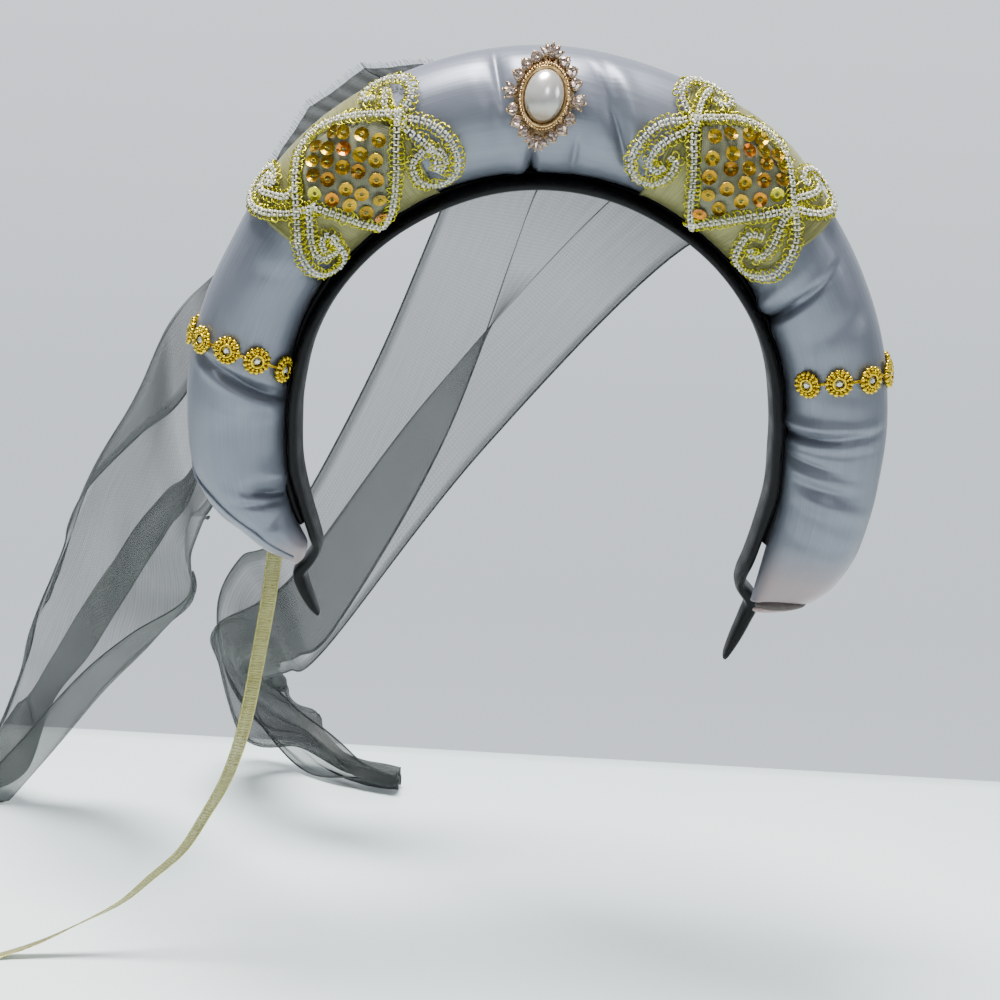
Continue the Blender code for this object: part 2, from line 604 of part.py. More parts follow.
def strand_shape(points, over):
    # a flattened tube along a line of the roll's surface, each strand a little under the one before
    points = np.asarray(points, float)
    fine = smooth_rows(points, np.linspace(0, len(points) - 1, 14 * len(points)))
    place = on_roll(fine[:, 0], fine[:, 1], BRAID_BOTTOM)
    run = np.concatenate([[0], np.cumsum(np.linalg.norm(np.diff(place, axis=0), axis=1))])
    count = max(3, int(round(run[-1] / BRAID_STEP)) + 1)
    at = np.interp(np.linspace(0, run[-1], count), run, np.arange(len(run)))
    turn = smooth_rows(fine, at)
    base = on_roll(turn[:, 0], turn[:, 1])
    up = roll_normal(turn[:, 0], turn[:, 1])
    ahead = unit(np.gradient(base, axis=0))
    side = unit(np.cross(ahead, up))
    rise = BRAID_TOP - BRAID_BOTTOM - BRAID_UNDER * over
    bottom = BRAID_BOTTOM + BRAID_UNDER * over / 2
    wide = BRAID_HALF_WIDTH - BRAID_UNDER * over / 2
    rings = []
    for i in range(count):
        ring = []
        for s, h in ((-1.0, 0.35), (-0.5, 1.0), (0.6, 1.0), (1.0, 0.4), (0.04, 0.0)):
            ring.append(base[i] + up[i] * (bottom + rise * h) + side[i] * wide * s)
        rings.append(np.array(ring))
    return rings_shape(rings)


def build_braid(side):
    strands = []
    for k, points in enumerate(BRAID_STRANDS[side]):
        strands.append(make_object("strand_" + str(k), *strand_shape(points, k), None))
    base = unite(strands[0], strands[1:])
    base.name = "braid_" + side
    base.data.materials.clear()
    base.data.materials.append(make_material("braid_" + side + "_look", (0.62, 0.60, 0.36), 0.5, 0.35))
    return tidy_solid(base)


def brooch_axes():
    up = roll_normal(BROOCH_ANGLE, BROOCH_AROUND)
    centre = on_roll(BROOCH_ANGLE, BROOCH_AROUND) + up * BROOCH_LIFT
    right = np.array([1.0, 0.0, 0.0])
    right = unit(right - up * np.dot(right, up))
    top = np.cross(up, right)
    turn = math.radians(BROOCH_TURN)
    x = right * math.cos(turn) - top * math.sin(turn)
    y = right * math.sin(turn) + top * math.cos(turn)
    return centre, x, y, up


def brooch_outline(theta, row):
    wide, high, rise, scallop = row
    lobe = 1 + scallop * np.cos(theta * BROOCH_LOBES)
    reach = np.zeros(theta.shape)
    for at, spread, extra in BROOCH_CLUSTERS:
        off = (np.degrees(theta) - at + 180) % 360 - 180
        reach = reach + extra * (scallop > 0.04) * np.exp(-(off / spread) ** 2)
    x = (wide * lobe + reach) * np.cos(theta)
    y = (high * lobe + reach) * np.sin(theta)
    return x, y, np.full(theta.shape, rise)


def build_brooch():
    centre, ax, ay, up = brooch_axes()
    theta = np.arange(BROOCH_LOBES * 2) * math.pi / BROOCH_LOBES
    rings = []
    for row in BROOCH_RINGS:
        x, y, z = brooch_outline(theta, row)
        rings.append(centre + x[:, None] * ax + y[:, None] * ay + z[:, None] * up)
    setting = make_object("brooch_setting", *rings_shape(rings), ((0.72, 0.47, 0.36), 1.0, 0.3))
    stones = []
    for at in (90, 66, 114, 0, 24, -24, 180, 156, 204, 270):
        t = math.radians(at)
        place = centre + 11.0 * math.cos(t) * ax + 14.6 * math.sin(t) * ay
        turn = np.arange(8) * math.pi / 4
        round_ = np.cos(turn)[:, None] * ax + np.sin(turn)[:, None] * ay
        low = place + round_ * STONE_RADIUS + up * 0.8
        high = place + round_ * STONE_RADIUS * 0.55 + up * (1.5 + STONE_HEIGHT)
        stones.append(rings_shape([low, high]))
    unite(setting, [make_object("stones", *join_shapes(stones), None)])
    tidy_solid(setting)
    dome = []
    theta = np.arange(18) * math.tau / 18
    for lat in (0, 22, 44, 64):
        c = math.cos(math.radians(lat))
        s = math.sin(math.radians(lat))
        flat = PEARL_HALF_WIDTH * c * np.cos(theta)[:, None] * ax + PEARL_HALF_HEIGHT * c * np.sin(theta)[:, None] * ay
        dome.append(centre + flat + up * (1.2 + PEARL_GAP + 0.8 + (PEARL_RISE - 0.8) * s))
    low = centre + (dome[0] - dome[0].mean(axis=0)) * 0.97 + up * (1.2 + PEARL_GAP)
    points, faces = rings_shape([low] + dome)
    points[-1] = centre + up * (1.2 + PEARL_GAP + PEARL_RISE)
    pearl = make_object("brooch_pearl", points, faces, ((0.86, 0.84, 0.82), 0.0, 0.2))
    return [setting, pearl]


def build_trim(side):
    flowers = []
    frames = []
    for angle, around in TRIM_FLOWERS[side]:
        place = on_roll(angle, around)
        up = roll_normal(angle, around)
        x = unit(on_roll(angle, around + 4) - on_roll(angle, around - 4))
        x = unit(x - up * np.dot(x, up))
        y = np.cross(up, x)
        frames.append((place, x, y, up))
        turn = np.arange(FLOWER_SIDES) * math.tau / FLOWER_SIDES
        round_ = np.cos(turn)[:, None] * x + np.sin(turn)[:, None] * y
        flowers.append(rings_shape([place + round_ * r + up * h for r, h in FLOWER_RINGS]))
    links = []
    for first, second in zip(frames, frames[1:]):
        ahead = unit(second[0] - first[0])
        ends = []
        for frame, way in ((first, 1), (second, -1)):
            place, x, y, up = frame
            out = unit(ahead - up * np.dot(ahead, up)) * way
            side_way = np.cross(up, ahead)
            middle = place + out * 3.2
            ring = []
            for s, h in ((-1, 0), (1, 0), (1, 1), (-1, 1)):
                ring.append(middle + side_way * LINK_HALF_WIDTH * s + up * LINK_LIFTS[h])
            ends.append(np.array(ring))
        links.append(rings_shape(ends))
    trim = make_object("trim_" + side, *join_shapes(flowers), ((0.78, 0.55, 0.12), 1.0, 0.3))
    unite(trim, [make_object("links", *join_shapes(links), None)])
    return tidy_solid(trim)


def fold_columns(line_points):
    # one row of the sheet: a turn of three points at every inner fold line
    columns = [line_points[0]]
    for k in range(1, len(line_points) - 1):
        here = line_points[k]
        before = line_points[k - 1] - here
        after = line_points[k + 1] - here
        near = np.linalg.norm(before)
        far = np.linalg.norm(after)
        before = before / max(near, 1e-6)
        after = after / max(far, 1e-6)
        closed = (1 + np.dot(before, after)) / 2
        apart = before - after
        size = np.linalg.norm(apart)
        apart = apart / size if size > 0.05 else np.array([0.0, -1.0, 0.0])
        push = apart * VEIL_GAP / 2 * closed
        columns.append(here + before * min(VEIL_REACH, 0.3 * near) + push)
        columns.append(here)
        columns.append(here + after * min(VEIL_REACH, 0.3 * far) - push)
    columns.append(line_points[-1])
    return np.array(columns)


def build_veil(side, heading, lines):
    rows = []
    for head, line in zip(heading, lines):
        top_angle, top_radius, top_depth, angle = head
        top = from_ring(*on_circle(top_angle, top_radius), top_depth)
        gather = from_ring(*on_circle(angle, 97.0), VEIL_BACKS[side])
        rows.append([top, gather] + [np.array(p, float) for p in line])
    table = np.array(rows).transpose(1, 0, 2)
    steps = np.linspace(0, len(table) - 1, 2 * len(table) - 1)
    grid = np.array([fold_columns(row) for row in smooth_rows(table, steps)])
    down = np.gradient(grid, axis=0)
    over = np.gradient(grid, axis=1)
    facing = unit(np.cross(down, over))
    shape = sheet_shape(grid + facing * VEIL_WALL / 2, grid - facing * VEIL_WALL / 2)
    return make_object("veil_" + side + "_tail", *shape, ((0.03, 0.033, 0.035), 0.0, 0.6))


def build_ribbon():
    rows = np.array(RIBBON_POINTS)
    rows = smooth_rows(rows, np.linspace(0, len(rows) - 1, 2 * len(rows) - 1))
    line = rows[:, :3]
    ahead = unit(np.gradient(line, axis=0))
    rings = []
    for i in range(len(rows)):
        flat = unit(np.cross(ahead[i], np.array([0.0, 1.0, 0.0])))
        level = unit(np.cross(flat, ahead[i]))
        turn = math.radians(rows[i, 3])
        wide = flat * math.cos(turn) + level * math.sin(turn)
        thin = np.cross(ahead[i], wide)
        ring = []
        for s, h in ((1, 1), (-1, 1), (-1, -1), (1, -1)):
            ring.append(line[i] + wide * s * RIBBON_WIDTH / 2 + thin * h * RIBBON_THICKNESS / 2)
        rings.append(np.array(ring))
    return make_object("ribbon_tie", *rings_shape(rings), ((0.50, 0.46, 0.22), 0.7, 0.4))


for old_object in list(bpy.data.objects):
    bpy.data.objects.remove(old_object)

build_roll()
build_band()
for ear in ("left", "right"):
    build_patch(ear)
    build_sequins(ear)
    build_braid(ear)
    build_trim(ear)
build_brooch()
build_veil("left", LEFT_TAIL_HEADING, LEFT_TAIL_LINES)
build_veil("back", BACK_TAIL_HEADING, BACK_TAIL_LINES)
build_ribbon()
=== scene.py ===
# Looks of the tudor headdress: satin roll, black band, gold squares, flower trims, pearl brooch,
# organza veil and mesh tie. Tables are in millimetres and degrees, meshes in metres.
import bpy
import bmesh
import math
import numpy as np
from mathutils import Matrix, Vector


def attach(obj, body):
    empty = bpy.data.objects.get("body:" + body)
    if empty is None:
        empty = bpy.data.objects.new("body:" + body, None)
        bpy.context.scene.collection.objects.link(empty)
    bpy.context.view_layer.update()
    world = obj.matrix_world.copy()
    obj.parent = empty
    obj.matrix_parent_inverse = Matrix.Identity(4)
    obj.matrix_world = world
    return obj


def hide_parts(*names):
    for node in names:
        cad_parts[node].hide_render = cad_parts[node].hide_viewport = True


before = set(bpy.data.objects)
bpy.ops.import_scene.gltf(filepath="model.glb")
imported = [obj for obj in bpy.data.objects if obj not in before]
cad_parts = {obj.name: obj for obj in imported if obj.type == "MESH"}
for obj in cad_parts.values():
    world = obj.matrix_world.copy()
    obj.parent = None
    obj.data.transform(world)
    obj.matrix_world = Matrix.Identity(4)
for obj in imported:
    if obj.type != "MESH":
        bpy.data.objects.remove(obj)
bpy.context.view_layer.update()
mm = 0.001

# the ring and the roll's surface, as the part gives them
# lengths along the roll are counted at runRadius
ring = {"tilt": math.radians(12.0), "seatRadius": 69.5, "runRadius": 95.0}

rollSections = [  # outerAngle, outerRadius, innerAngle, innerRadius, halfDepth, depthCentre
    (-128.1, 96.8, -127.9, 92.6, 2.6, 3.0), (-126.2, 98.6, -126.0, 89.4, 5.0, 2.4),
    (-122.3, 102.8, -123.1, 88.9, 8.0, 1.6), (-117.5, 106.2, -119.4, 88.7, 10.8, 0.8),
    (-112.7, 110.9, -115.1, 87.2, 13.2, 0.3), (-107.4, 113.2, -109.6, 84.8, 15.2, 0.0),
    (-100.0, 113.3, -101.0, 81.9, 16.4, 0.0), (-88.0, 112.0, -88.0, 79.8, 17.0, 0.0),
    (-76.0, 110.6, -76.0, 79.2, 17.0, 0.0), (-65.0, 109.4, -65.0, 78.4, 17.4, 0.0),
    (-54.0, 110.2, -54.0, 76.4, 18.0, 0.0), (-41.0, 111.4, -41.0, 75.4, 18.4, 0.0),
    (-27.0, 112.0, -27.0, 74.8, 18.6, 0.0), (-13.0, 112.4, -13.0, 74.2, 18.6, 0.0),
    (0.0, 112.4, 0.0, 74.0, 18.6, 0.0), (13.0, 111.6, 13.0, 74.4, 18.6, 0.0),
    (26.0, 111.4, 26.0, 74.8, 18.6, 0.0), (39.0, 111.8, 39.0, 74.8, 18.4, 0.0),
    (53.0, 109.8, 53.0, 76.2, 18.0, 0.0), (65.0, 109.8, 65.0, 76.6, 17.4, 0.0),
    (77.0, 110.6, 77.0, 77.8, 17.0, 0.0), (90.0, 111.8, 90.0, 79.0, 17.0, 0.0),
    (101.0, 113.3, 101.5, 81.4, 16.4, 0.0), (107.8, 114.9, 110.5, 85.2, 15.4, 0.0),
    (113.8, 116.2, 119.5, 89.2, 13.6, 0.4), (119.6, 115.6, 126.4, 93.8, 10.8, 1.0),
    (123.6, 113.6, 130.8, 97.6, 7.8, 1.6),
]
rollFolds = [  # angle, around, reach, halfWidth, depth, puff, puffOffset, slant
    (-5.0, 150.0, 60.0, 1.9, 2.4, 0.6, -5.0, -1.0), (-10.0, 45.0, 60.0, 3.0, 1.8, 0.5, 6.0, 1.0),
    (4.2, 125.0, 40.0, 3.0, 1.1, 0.0, 0.0, 0.0), (11.6, 92.0, 75.0, 3.2, 2.0, 0.5, 6.0, 9.5),
    (63.6, 140.0, 68.0, 2.3, 3.4, 2.0, -6.0, 5.5), (92.6, 138.0, 75.0, 2.1, 2.0, 1.3, -4.5, 1.5),
    (97.6, 125.0, 60.0, 2.6, 0.9, 0.5, 4.0, 0.0), (102.0, 100.0, 60.0, 3.0, 0.9, 0.7, 4.5, 0.0),
    (-88.6, 118.0, 62.0, 2.1, 2.8, 1.5, -5.0, -6.0), (-110.8, 136.0, 56.0, 3.2, 3.6, 1.2, 6.5, -4.0),
    (-60.5, 168.0, 50.0, 3.0, 1.6, 0.0, 0.0, 3.0), (-70.0, 250.0, 80.0, 3.5, 1.6, 0.6, 6.0, 4.0),
    (-20.0, 262.0, 70.0, 3.5, 1.8, 0.6, 6.0, -4.0), (66.0, 262.0, 60.0, 3.5, 1.4, 0.6, 6.0, 3.0),
    (84.0, 250.0, 80.0, 3.5, 1.8, 0.6, 6.0, -4.0),
]


def onCircle(angle, radius):
    a = np.radians(angle)
    return np.stack([radius * np.sin(a), radius * np.cos(a)], axis=-1)


def fromRing(x, y, depth):  # ring plane to object millimetres, depth towards the face
    x, y, depth = np.broadcast_arrays(x, y, depth)
    s, c = math.sin(ring["tilt"]), math.cos(ring["tilt"])
    up = y - ring["seatRadius"]
    return np.stack([x, -up * s - depth * c, up * c - depth * s], axis=-1)


def smoothRows(rows, t):  # a smooth curve through table rows, t counted in rows
    rows = np.asarray(rows, float)
    t = np.clip(np.asarray(t, float), 0.0, len(rows) - 1.0)
    i = np.minimum(t.astype(int), len(rows) - 2)
    f = (t - i).reshape(t.shape + (1,) * (rows.ndim - 1))
    p0, p1, p2 = rows[np.maximum(i - 1, 0)], rows[i], rows[i + 1]
    p3 = rows[np.minimum(i + 2, len(rows) - 1)]
    bend, twist = 2 * p0 - 5 * p1 + 4 * p2 - p3, 3 * p1 - p0 - 3 * p2 + p3
    return p1 + 0.5 * f * ((p2 - p0) + f * (bend + f * twist))


def unit(v):
    return v / np.maximum(np.linalg.norm(v, axis=-1, keepdims=True), 1e-9)


def runOf(line):  # the length from the start of a line to each of its points
    return np.concatenate([[0], np.cumsum(np.linalg.norm(np.diff(line, axis=0), axis=1))])


def evenSteps(run, first, last, count):  # evenly spaced lengths, counted in the line's points
    return np.interp(np.linspace(first, last, count), run, np.arange(len(run)))


def sectionTable():
    table = np.array(rollSections)
    outer, inner = onCircle(table[:, 0], table[:, 1]), onCircle(table[:, 2], table[:, 3])
    centre, half = (outer + inner) / 2, (outer - inner) / 2
    return np.degrees(np.arctan2(centre[:, 0], centre[:, 1])), np.hstack([centre, half, table[:, 4:6]])


rollAngles, rollRows = sectionTable()


def foldLift(angle, around, folds, sharp=0.0):
    lift = np.zeros(np.broadcast(angle, around).shape)
    for at, atAround, reach, width, depth, puff, puffOffset, slant in folds:
        off = (around - atAround + 180.0) % 360.0 - 180.0
        fade = np.clip(1.0 - np.abs(off) / reach, 0.0, 1.0)
        fade = fade * fade * (3 - 2 * fade)
        along = np.radians(angle - at - slant * off / 90.0) * ring["runRadius"]
        crease = np.exp(-(along / width) ** 2) + sharp * np.exp(-(along / (0.33 * width)) ** 2)
        lift = lift + fade * (puff * np.exp(-((along - puffOffset) / (1.6 * width)) ** 2) - depth * crease)
    return lift


def onRoll(angle, around, lift=0.0, sharp=0.0, extra=()):  # around: 0 outside, 90 face side, 180 inside
    angle, around, lift = np.broadcast_arrays(np.asarray(angle, float), around, lift)
    t = np.interp(angle, rollAngles, np.arange(len(rollAngles)))
    row = smoothRows(rollRows, t)
    half = np.hypot(row[..., 2], row[..., 3])
    across = row[..., 2:4] / half[..., None]
    turn = np.radians(around)
    nOut, nDepth = np.cos(turn) / half, np.sin(turn) / row[..., 4]
    size = np.hypot(nOut, nDepth)
    rise = lift + foldLift(angle, around, rollFolds, sharp)
    if len(extra):
        rise = rise + foldLift(angle, around, extra)
    out = np.cos(turn) * half + rise * nOut / size
    depth = np.sin(turn) * row[..., 4] + rise * nDepth / size
    ramp = np.clip(t - (len(rollAngles) - 3), 0.0, 2.0) / 2.0
    slip = -1.7 * np.sin(turn) * ramp * ramp
    x = row[..., 0] + across[..., 0] * out + across[..., 1] * slip
    y = row[..., 1] + across[..., 1] * out - across[..., 0] * slip
    return fromRing(x, y, row[..., 5] + depth)


def rollNormal(angle, around):
    angle, around = np.asarray(angle, float), np.asarray(around, float)
    along = onRoll(angle + 0.4, around) - onRoll(angle - 0.4, around)
    return unit(np.cross(onRoll(angle, around + 1.0) - onRoll(angle, around - 1.0), along))


# mesh helpers
def makeObject(name, points, faces, looks=(), uv=None, smooth=True):
    mesh = bpy.data.meshes.new(name)
    mesh.from_pydata((np.asarray(points, float) * mm).tolist(), [], [list(map(int, f)) for f in faces])
    if uv is not None:
        layer = mesh.uv_layers.new(name="cloth")
        layer.data.foreach_set("uv", np.asarray(uv, np.float32).ravel())
    mesh.polygons.foreach_set("use_smooth", [smooth] * len(mesh.polygons))
    for look in looks:
        mesh.materials.append(look)
    obj = bpy.data.objects.new(name, mesh)
    bpy.context.scene.collection.objects.link(obj)
    return obj


def facesOut(obj, closeEnds=False):  # faces turned outward, once open ends are filled where that is asked
    shape = bmesh.new()
    shape.from_mesh(obj.data)
    if closeEnds:
        bmesh.ops.holes_fill(shape, edges=[e for e in shape.edges if e.is_boundary], sides=0)
    bmesh.ops.recalc_face_normals(shape, faces=shape.faces)
    shape.to_mesh(obj.data)
    shape.free()
    return obj


def writeValues(obj, label, values):  # a value for each point, read by the piece's material
    layer = obj.data.attributes.new(label, "FLOAT", "POINT")
    layer.data.foreach_set("value", np.asarray(values, np.float32).ravel())


def gridPlaces(down, across):  # the cloth coordinates of a grid from those of its rows and columns
    return np.stack(np.meshgrid(down, across, indexing="ij"), axis=-1)


def gridShape(points, closed=False, uv=None):  # a grid of points as quads, with one uv pair for each corner
    rows, cols = points.shape[:2]
    i, j = np.meshgrid(np.arange(rows - 1), np.arange(cols - 1 + closed), indexing="ij")
    i, j = i.ravel(), j.ravel()
    k = (j + 1) % cols
    faces = np.stack([i * cols + j, i * cols + k, (i + 1) * cols + k, (i + 1) * cols + j], axis=-1)
    if uv is None:
        return points.reshape(-1, 3), faces, None
    corner = np.stack([uv[i, j], uv[i, j + 1], uv[i + 1, j + 1], uv[i + 1, j]], axis=1)
    return points.reshape(-1, 3), faces, corner


def ringFaces(spans, sides, count):  # the quads between each ring of points and the next
    faces = []
    for i in range(spans):
        j = (i + 1) % count
        for k in range(sides):
            m = (k + 1) % sides
            faces.append((i * sides + k, i * sides + m, j * sides + m, j * sides + k))
    return faces


def tubeShape(path, radius, sides=6, closed=False, up=None):
    path = np.asarray(path, float)
    radius = np.broadcast_to(radius, len(path))
    ahead = unit(np.roll(path, -1, 0) - np.roll(path, 1, 0) if closed else np.gradient(path, axis=0))
    guide = np.array([0.0, 0.0, 1.0]) if up is None else np.asarray(up, float)
    side = unit(np.cross(ahead, np.broadcast_to(guide, path.shape)))
    lift = np.cross(side, ahead)
    turn = np.arange(sides) * math.tau / sides
    rings = path[:, None] + radius[:, None, None] * (
        np.cos(turn)[None, :, None] * side[:, None] + np.sin(turn)[None, :, None] * lift[:, None])
    count = len(path)
    faces = ringFaces(count - 1 + closed, sides, count)
    if not closed:
        faces.append(tuple(range(sides)))
        faces.append(tuple(reversed(range((count - 1) * sides, count * sides))))
    return rings.reshape(-1, 3).tolist(), faces


def sewnTube(name, shape, look, length=0.0):  # a cloth tube, its coordinates running on from face to face
    points, faces = shape
    corners = np.linspace(0.0, length, sum(len(face) for face in faces))
    return facesOut(makeObject(name, points, faces, [look], np.repeat(corners[:, None], 2, axis=1)))


def joined(shapes):
    points, faces = [], []
    for morePoints, moreFaces in shapes:
        start = len(points)
        points += [tuple(p) for p in morePoints]
        faces += [tuple(start + k for k in face) for face in moreFaces]
    return points, faces


def latheShape(profile, sides, stretch=(1.0, 1.0), lobes=0, depth=0.0, close=(False, False)):
    turn = np.arange(sides) * math.tau / sides
    wave = 1 + depth * np.cos(turn * lobes)
    points = [(radius * w * stretch[0] * math.cos(a), radius * w * stretch[1] * math.sin(a), height)
              for radius, height in profile for a, w in zip(turn, wave)]
    faces = ringFaces(len(profile) - 1, sides, len(profile))
    if close[0]:
        faces.append(tuple(reversed(range(sides))))
    if close[1]:
        faces.append(tuple(range((len(profile) - 1) * sides, len(profile) * sides)))
    return points, faces


def ballShape(centre, size, around=8, rings=5):  # a small round or oval bead
    size = np.broadcast_to(size, 3)
    points, faces = [], []
    for i in range(1, rings):
        lat = math.pi * i / rings
        for k in range(around):
            a = math.tau * k / around
            points.append((math.sin(lat) * math.cos(a), math.sin(lat) * math.sin(a), math.cos(lat)))
    points += [(0, 0, 1), (0, 0, -1)]
    top, low = len(points) - 2, len(points) - 1
    for k in range(around):
        m = (k + 1) % around
        faces.append((top, k, m))
        for i in range(rings - 2):
            faces.append((i * around + k, (i + 1) * around + k, (i + 1) * around + m, i * around + m))
        faces.append(((rings - 2) * around + m, (rings - 2) * around + k, low))
    return (np.array(points) * size + np.asarray(centre, float)).tolist(), faces


# shader helpers
def setSocket(socket, value):  # a link from another node's socket, or a plain value
    if isinstance(value, bpy.types.NodeSocket):
        socket.id_data.links.new(value, socket)
    else:
        socket.default_value = value


def addNode(tree, kind, inputs=(), **settings):
    made = tree.nodes.new(kind)
    for key, value in settings.items():
        setattr(made, key, value)
    for key, value in dict(inputs).items():
        setSocket(made.inputs[key], value)
    return made


def calc(tree, operation, *values):
    return addNode(tree, "ShaderNodeMath", enumerate(values), operation=operation).outputs[0]


def remap(tree, value, low, high, start=0.0, end=1.0):
    return addNode(tree, "ShaderNodeMapRange", {
        "Value": value, "From Min": start, "From Max": end, "To Min": low, "To Max": high}).outputs["Result"]


def colourRamp(tree, factor, stops):  # stops: place, colour
    ramp = addNode(tree, "ShaderNodeValToRGB", {"Fac": factor})
    marks = ramp.color_ramp.elements
    for at, colour in stops[1:-1]:
        marks.new(at)
    for mark, (at, colour) in zip(marks, stops):
        mark.color = (*colour, 1.0)
    return ramp.outputs["Color"]


def newGroup(name, inputs, outputs):
    tree = bpy.data.node_groups.new(name, "ShaderNodeTree")
    for label, kind, value in inputs:
        socket = tree.interface.new_socket(label, in_out="INPUT", socket_type="NodeSocket" + kind)
        if value is not None:
            socket.default_value = value
    for label, kind in outputs:
        tree.interface.new_socket(label, in_out="OUTPUT", socket_type="NodeSocket" + kind)
    return tree, tree.nodes.new("NodeGroupInput").outputs, tree.nodes.new("NodeGroupOutput").inputs


def buildThreadGroup():  # crossed threads: height of the cloth and how open it is between them
    tree, given, out = newGroup("crossedThreads", [
        ("Vector", "Vector", None), ("Warp Pitch", "Float", 0.5), ("Weft Pitch", "Float", 0.5),
        ("Unevenness", "Float", 0.3)], [("Height", "Float"), ("Open", "Float")])
    split = addNode(tree, "ShaderNodeSeparateXYZ", {"Vector": given["Vector"]})
    drift = addNode(tree, "ShaderNodeTexNoise", {"Vector": given["Vector"], "Scale": 0.35, "Detail": 2.0})
    push = calc(tree, "MULTIPLY", calc(tree, "SUBTRACT", drift.outputs["Fac"], 0.5), given["Unevenness"])
    waves = []
    for axis, pitch in (("X", "Warp Pitch"), ("Y", "Weft Pitch")):
        place = calc(tree, "DIVIDE", calc(tree, "ADD", split.outputs[axis], push), given[pitch])
        waves.append(calc(tree, "ABSOLUTE", calc(tree, "SINE", calc(tree, "MULTIPLY", place, math.pi))))
    height = calc(tree, "MAXIMUM", waves[0], waves[1])
    tree.links.new(height, out["Height"])
    tree.links.new(calc(tree, "SUBTRACT", 1.0, height), out["Open"])
    return tree


def buildStreakGroup():  # long fine streaks, as drawn threads or brushed fibres
    tree, given, out = newGroup("longStreaks", [
        ("Vector", "Vector", None), ("Length", "Float", 20.0), ("Width", "Float", 0.3),
        ("Detail", "Float", 3.0)], [("Value", "Float")])
    split = addNode(tree, "ShaderNodeSeparateXYZ", {"Vector": given["Vector"]})
    x = calc(tree, "DIVIDE", split.outputs["X"], given["Length"])
    y = calc(tree, "DIVIDE", split.outputs["Y"], given["Width"])
    pair = addNode(tree, "ShaderNodeCombineXYZ", {"X": x, "Y": y})
    noise = addNode(tree, "ShaderNodeTexNoise", {
        "Vector": pair.outputs[0], "Scale": 1.0, "Detail": given["Detail"]})
    tree.links.new(noise.outputs["Fac"], out["Value"])
    return tree


def buildPatchyGroup():  # soft uneven patches of wear or shade
    tree, given, out = newGroup("softPatches", [
        ("Vector", "Vector", None), ("Size", "Float", 10.0)], [("Value", "Float")])
    place = addNode(tree, "ShaderNodeVectorMath", {0: given["Vector"], 1: given["Size"]}, operation="DIVIDE")
    noise = addNode(tree, "ShaderNodeTexNoise", {"Vector": place.outputs[0], "Scale": 1.0, "Detail": 4.0})
    tree.links.new(remap(tree, noise.outputs["Fac"], 0.0, 1.0, 0.3, 0.7), out["Value"])
    return tree


threadGroup, streakGroup, patchyGroup = buildThreadGroup(), buildStreakGroup(), buildPatchyGroup()


def newLook(name, coordinates, values):  # a material and its millimetre coordinates
    look = bpy.data.materials.new(name)
    look.use_nodes = True
    tree = look.node_tree
    shader = tree.nodes["Principled BSDF"]
    for key, value in values.items():
        setSocket(shader.inputs[key], value)
    if coordinates == "cloth":
        place = addNode(tree, "ShaderNodeUVMap", uv_map="cloth").outputs["UV"]
    else:
        source = addNode(tree, "ShaderNodeTexCoord")
        place = addNode(tree, "ShaderNodeVectorMath", {0: source.outputs["Object"], "Scale": 1000.0},
                        operation="SCALE").outputs[0]
    return look, tree, shader, place


def crossedThreads(place, warp, weft, uneven=0.3):
    values = {"Vector": place, "Warp Pitch": warp, "Weft Pitch": weft, "Unevenness": uneven}
    return addNode(place.id_data, "ShaderNodeGroup", values, node_tree=threadGroup).outputs


def longStreaks(place, length, width, detail=3.0):
    values = {"Vector": place, "Length": length, "Width": width, "Detail": detail}
    return addNode(place.id_data, "ShaderNodeGroup", values, node_tree=streakGroup).outputs["Value"]


def softPatches(place, size):
    values = {"Vector": place, "Size": size}
    return addNode(place.id_data, "ShaderNodeGroup", values, node_tree=patchyGroup).outputs["Value"]


def pointValue(tree, label):
    return addNode(tree, "ShaderNodeAttribute", attribute_name=label).outputs["Fac"]


def feed(shader, label, value):
    setSocket(shader.inputs[label], value)


def mixColours(tree, factor, first, second):
    pair = [value if isinstance(value, bpy.types.NodeSocket) else (*value, 1.0) for value in (first, second)]
    made = addNode(tree, "ShaderNodeMix", {"Factor": factor, 6: pair[0], 7: pair[1]}, data_type="RGBA")
    return made.outputs[2]


def addBump(tree, shader, height, strength, distance, before=None):
    inputs = {"Height": height, "Strength": strength, "Distance": distance * mm}
    if before is not None:
        inputs["Normal"] = before
    made = addNode(tree, "ShaderNodeBump", inputs).outputs["Normal"]
    feed(shader, "Normal", made)
    return made


def satinLook():
    look, tree, shader, place = newLook("slateSatin", "cloth", {
        "Roughness": 0.36, "Specular IOR Level": 0.5, "Sheen Weight": 0.06, "Sheen Roughness": 0.3,
        "Sheen Tint": (0.80, 0.86, 0.95, 1.0), "Metallic": 0.42, "Anisotropic": 0.35})
    fine = longStreaks(place, 26.0, 0.28)
    wide = longStreaks(place, 60.0, 1.6, 2.0)
    patchy = softPatches(place, 26.0)
    tone = mixColours(tree, patchy, (0.108, 0.118, 0.153), (0.138, 0.149, 0.184))
    tone = mixColours(tree, remap(tree, fine, 0.0, 0.45, 0.38, 0.66), tone, (0.162, 0.176, 0.214))
    # rosy: paler pink near the ends on the face side, partly the cloth's own turned-in side and partly a
    # painted reflection of the face
    rosy = pointValue(tree, "rosy")
    feed(shader, "Base Color", mixColours(tree, rosy, tone, (0.215, 0.172, 0.18)))
    feed(shader, "Roughness", remap(tree, wide, 0.34, 0.47, 0.3, 0.7))
    threads = crossedThreads(place, 0.62, 0.34)["Height"]
    first = addBump(tree, shader, fine, 0.14, 0.08)
    second = addBump(tree, shader, wide, 0.20, 0.30, first)
    addBump(tree, shader, threads, 0.10, 0.05, second)
    return look


def liningLook(name, low, high):
    look, tree, shader, place = newLook(name, "cloth", {"Roughness": 0.62})
    patchy = softPatches(place, 5.0)
    feed(shader, "Base Color", mixColours(tree, patchy, low, high))
    return look


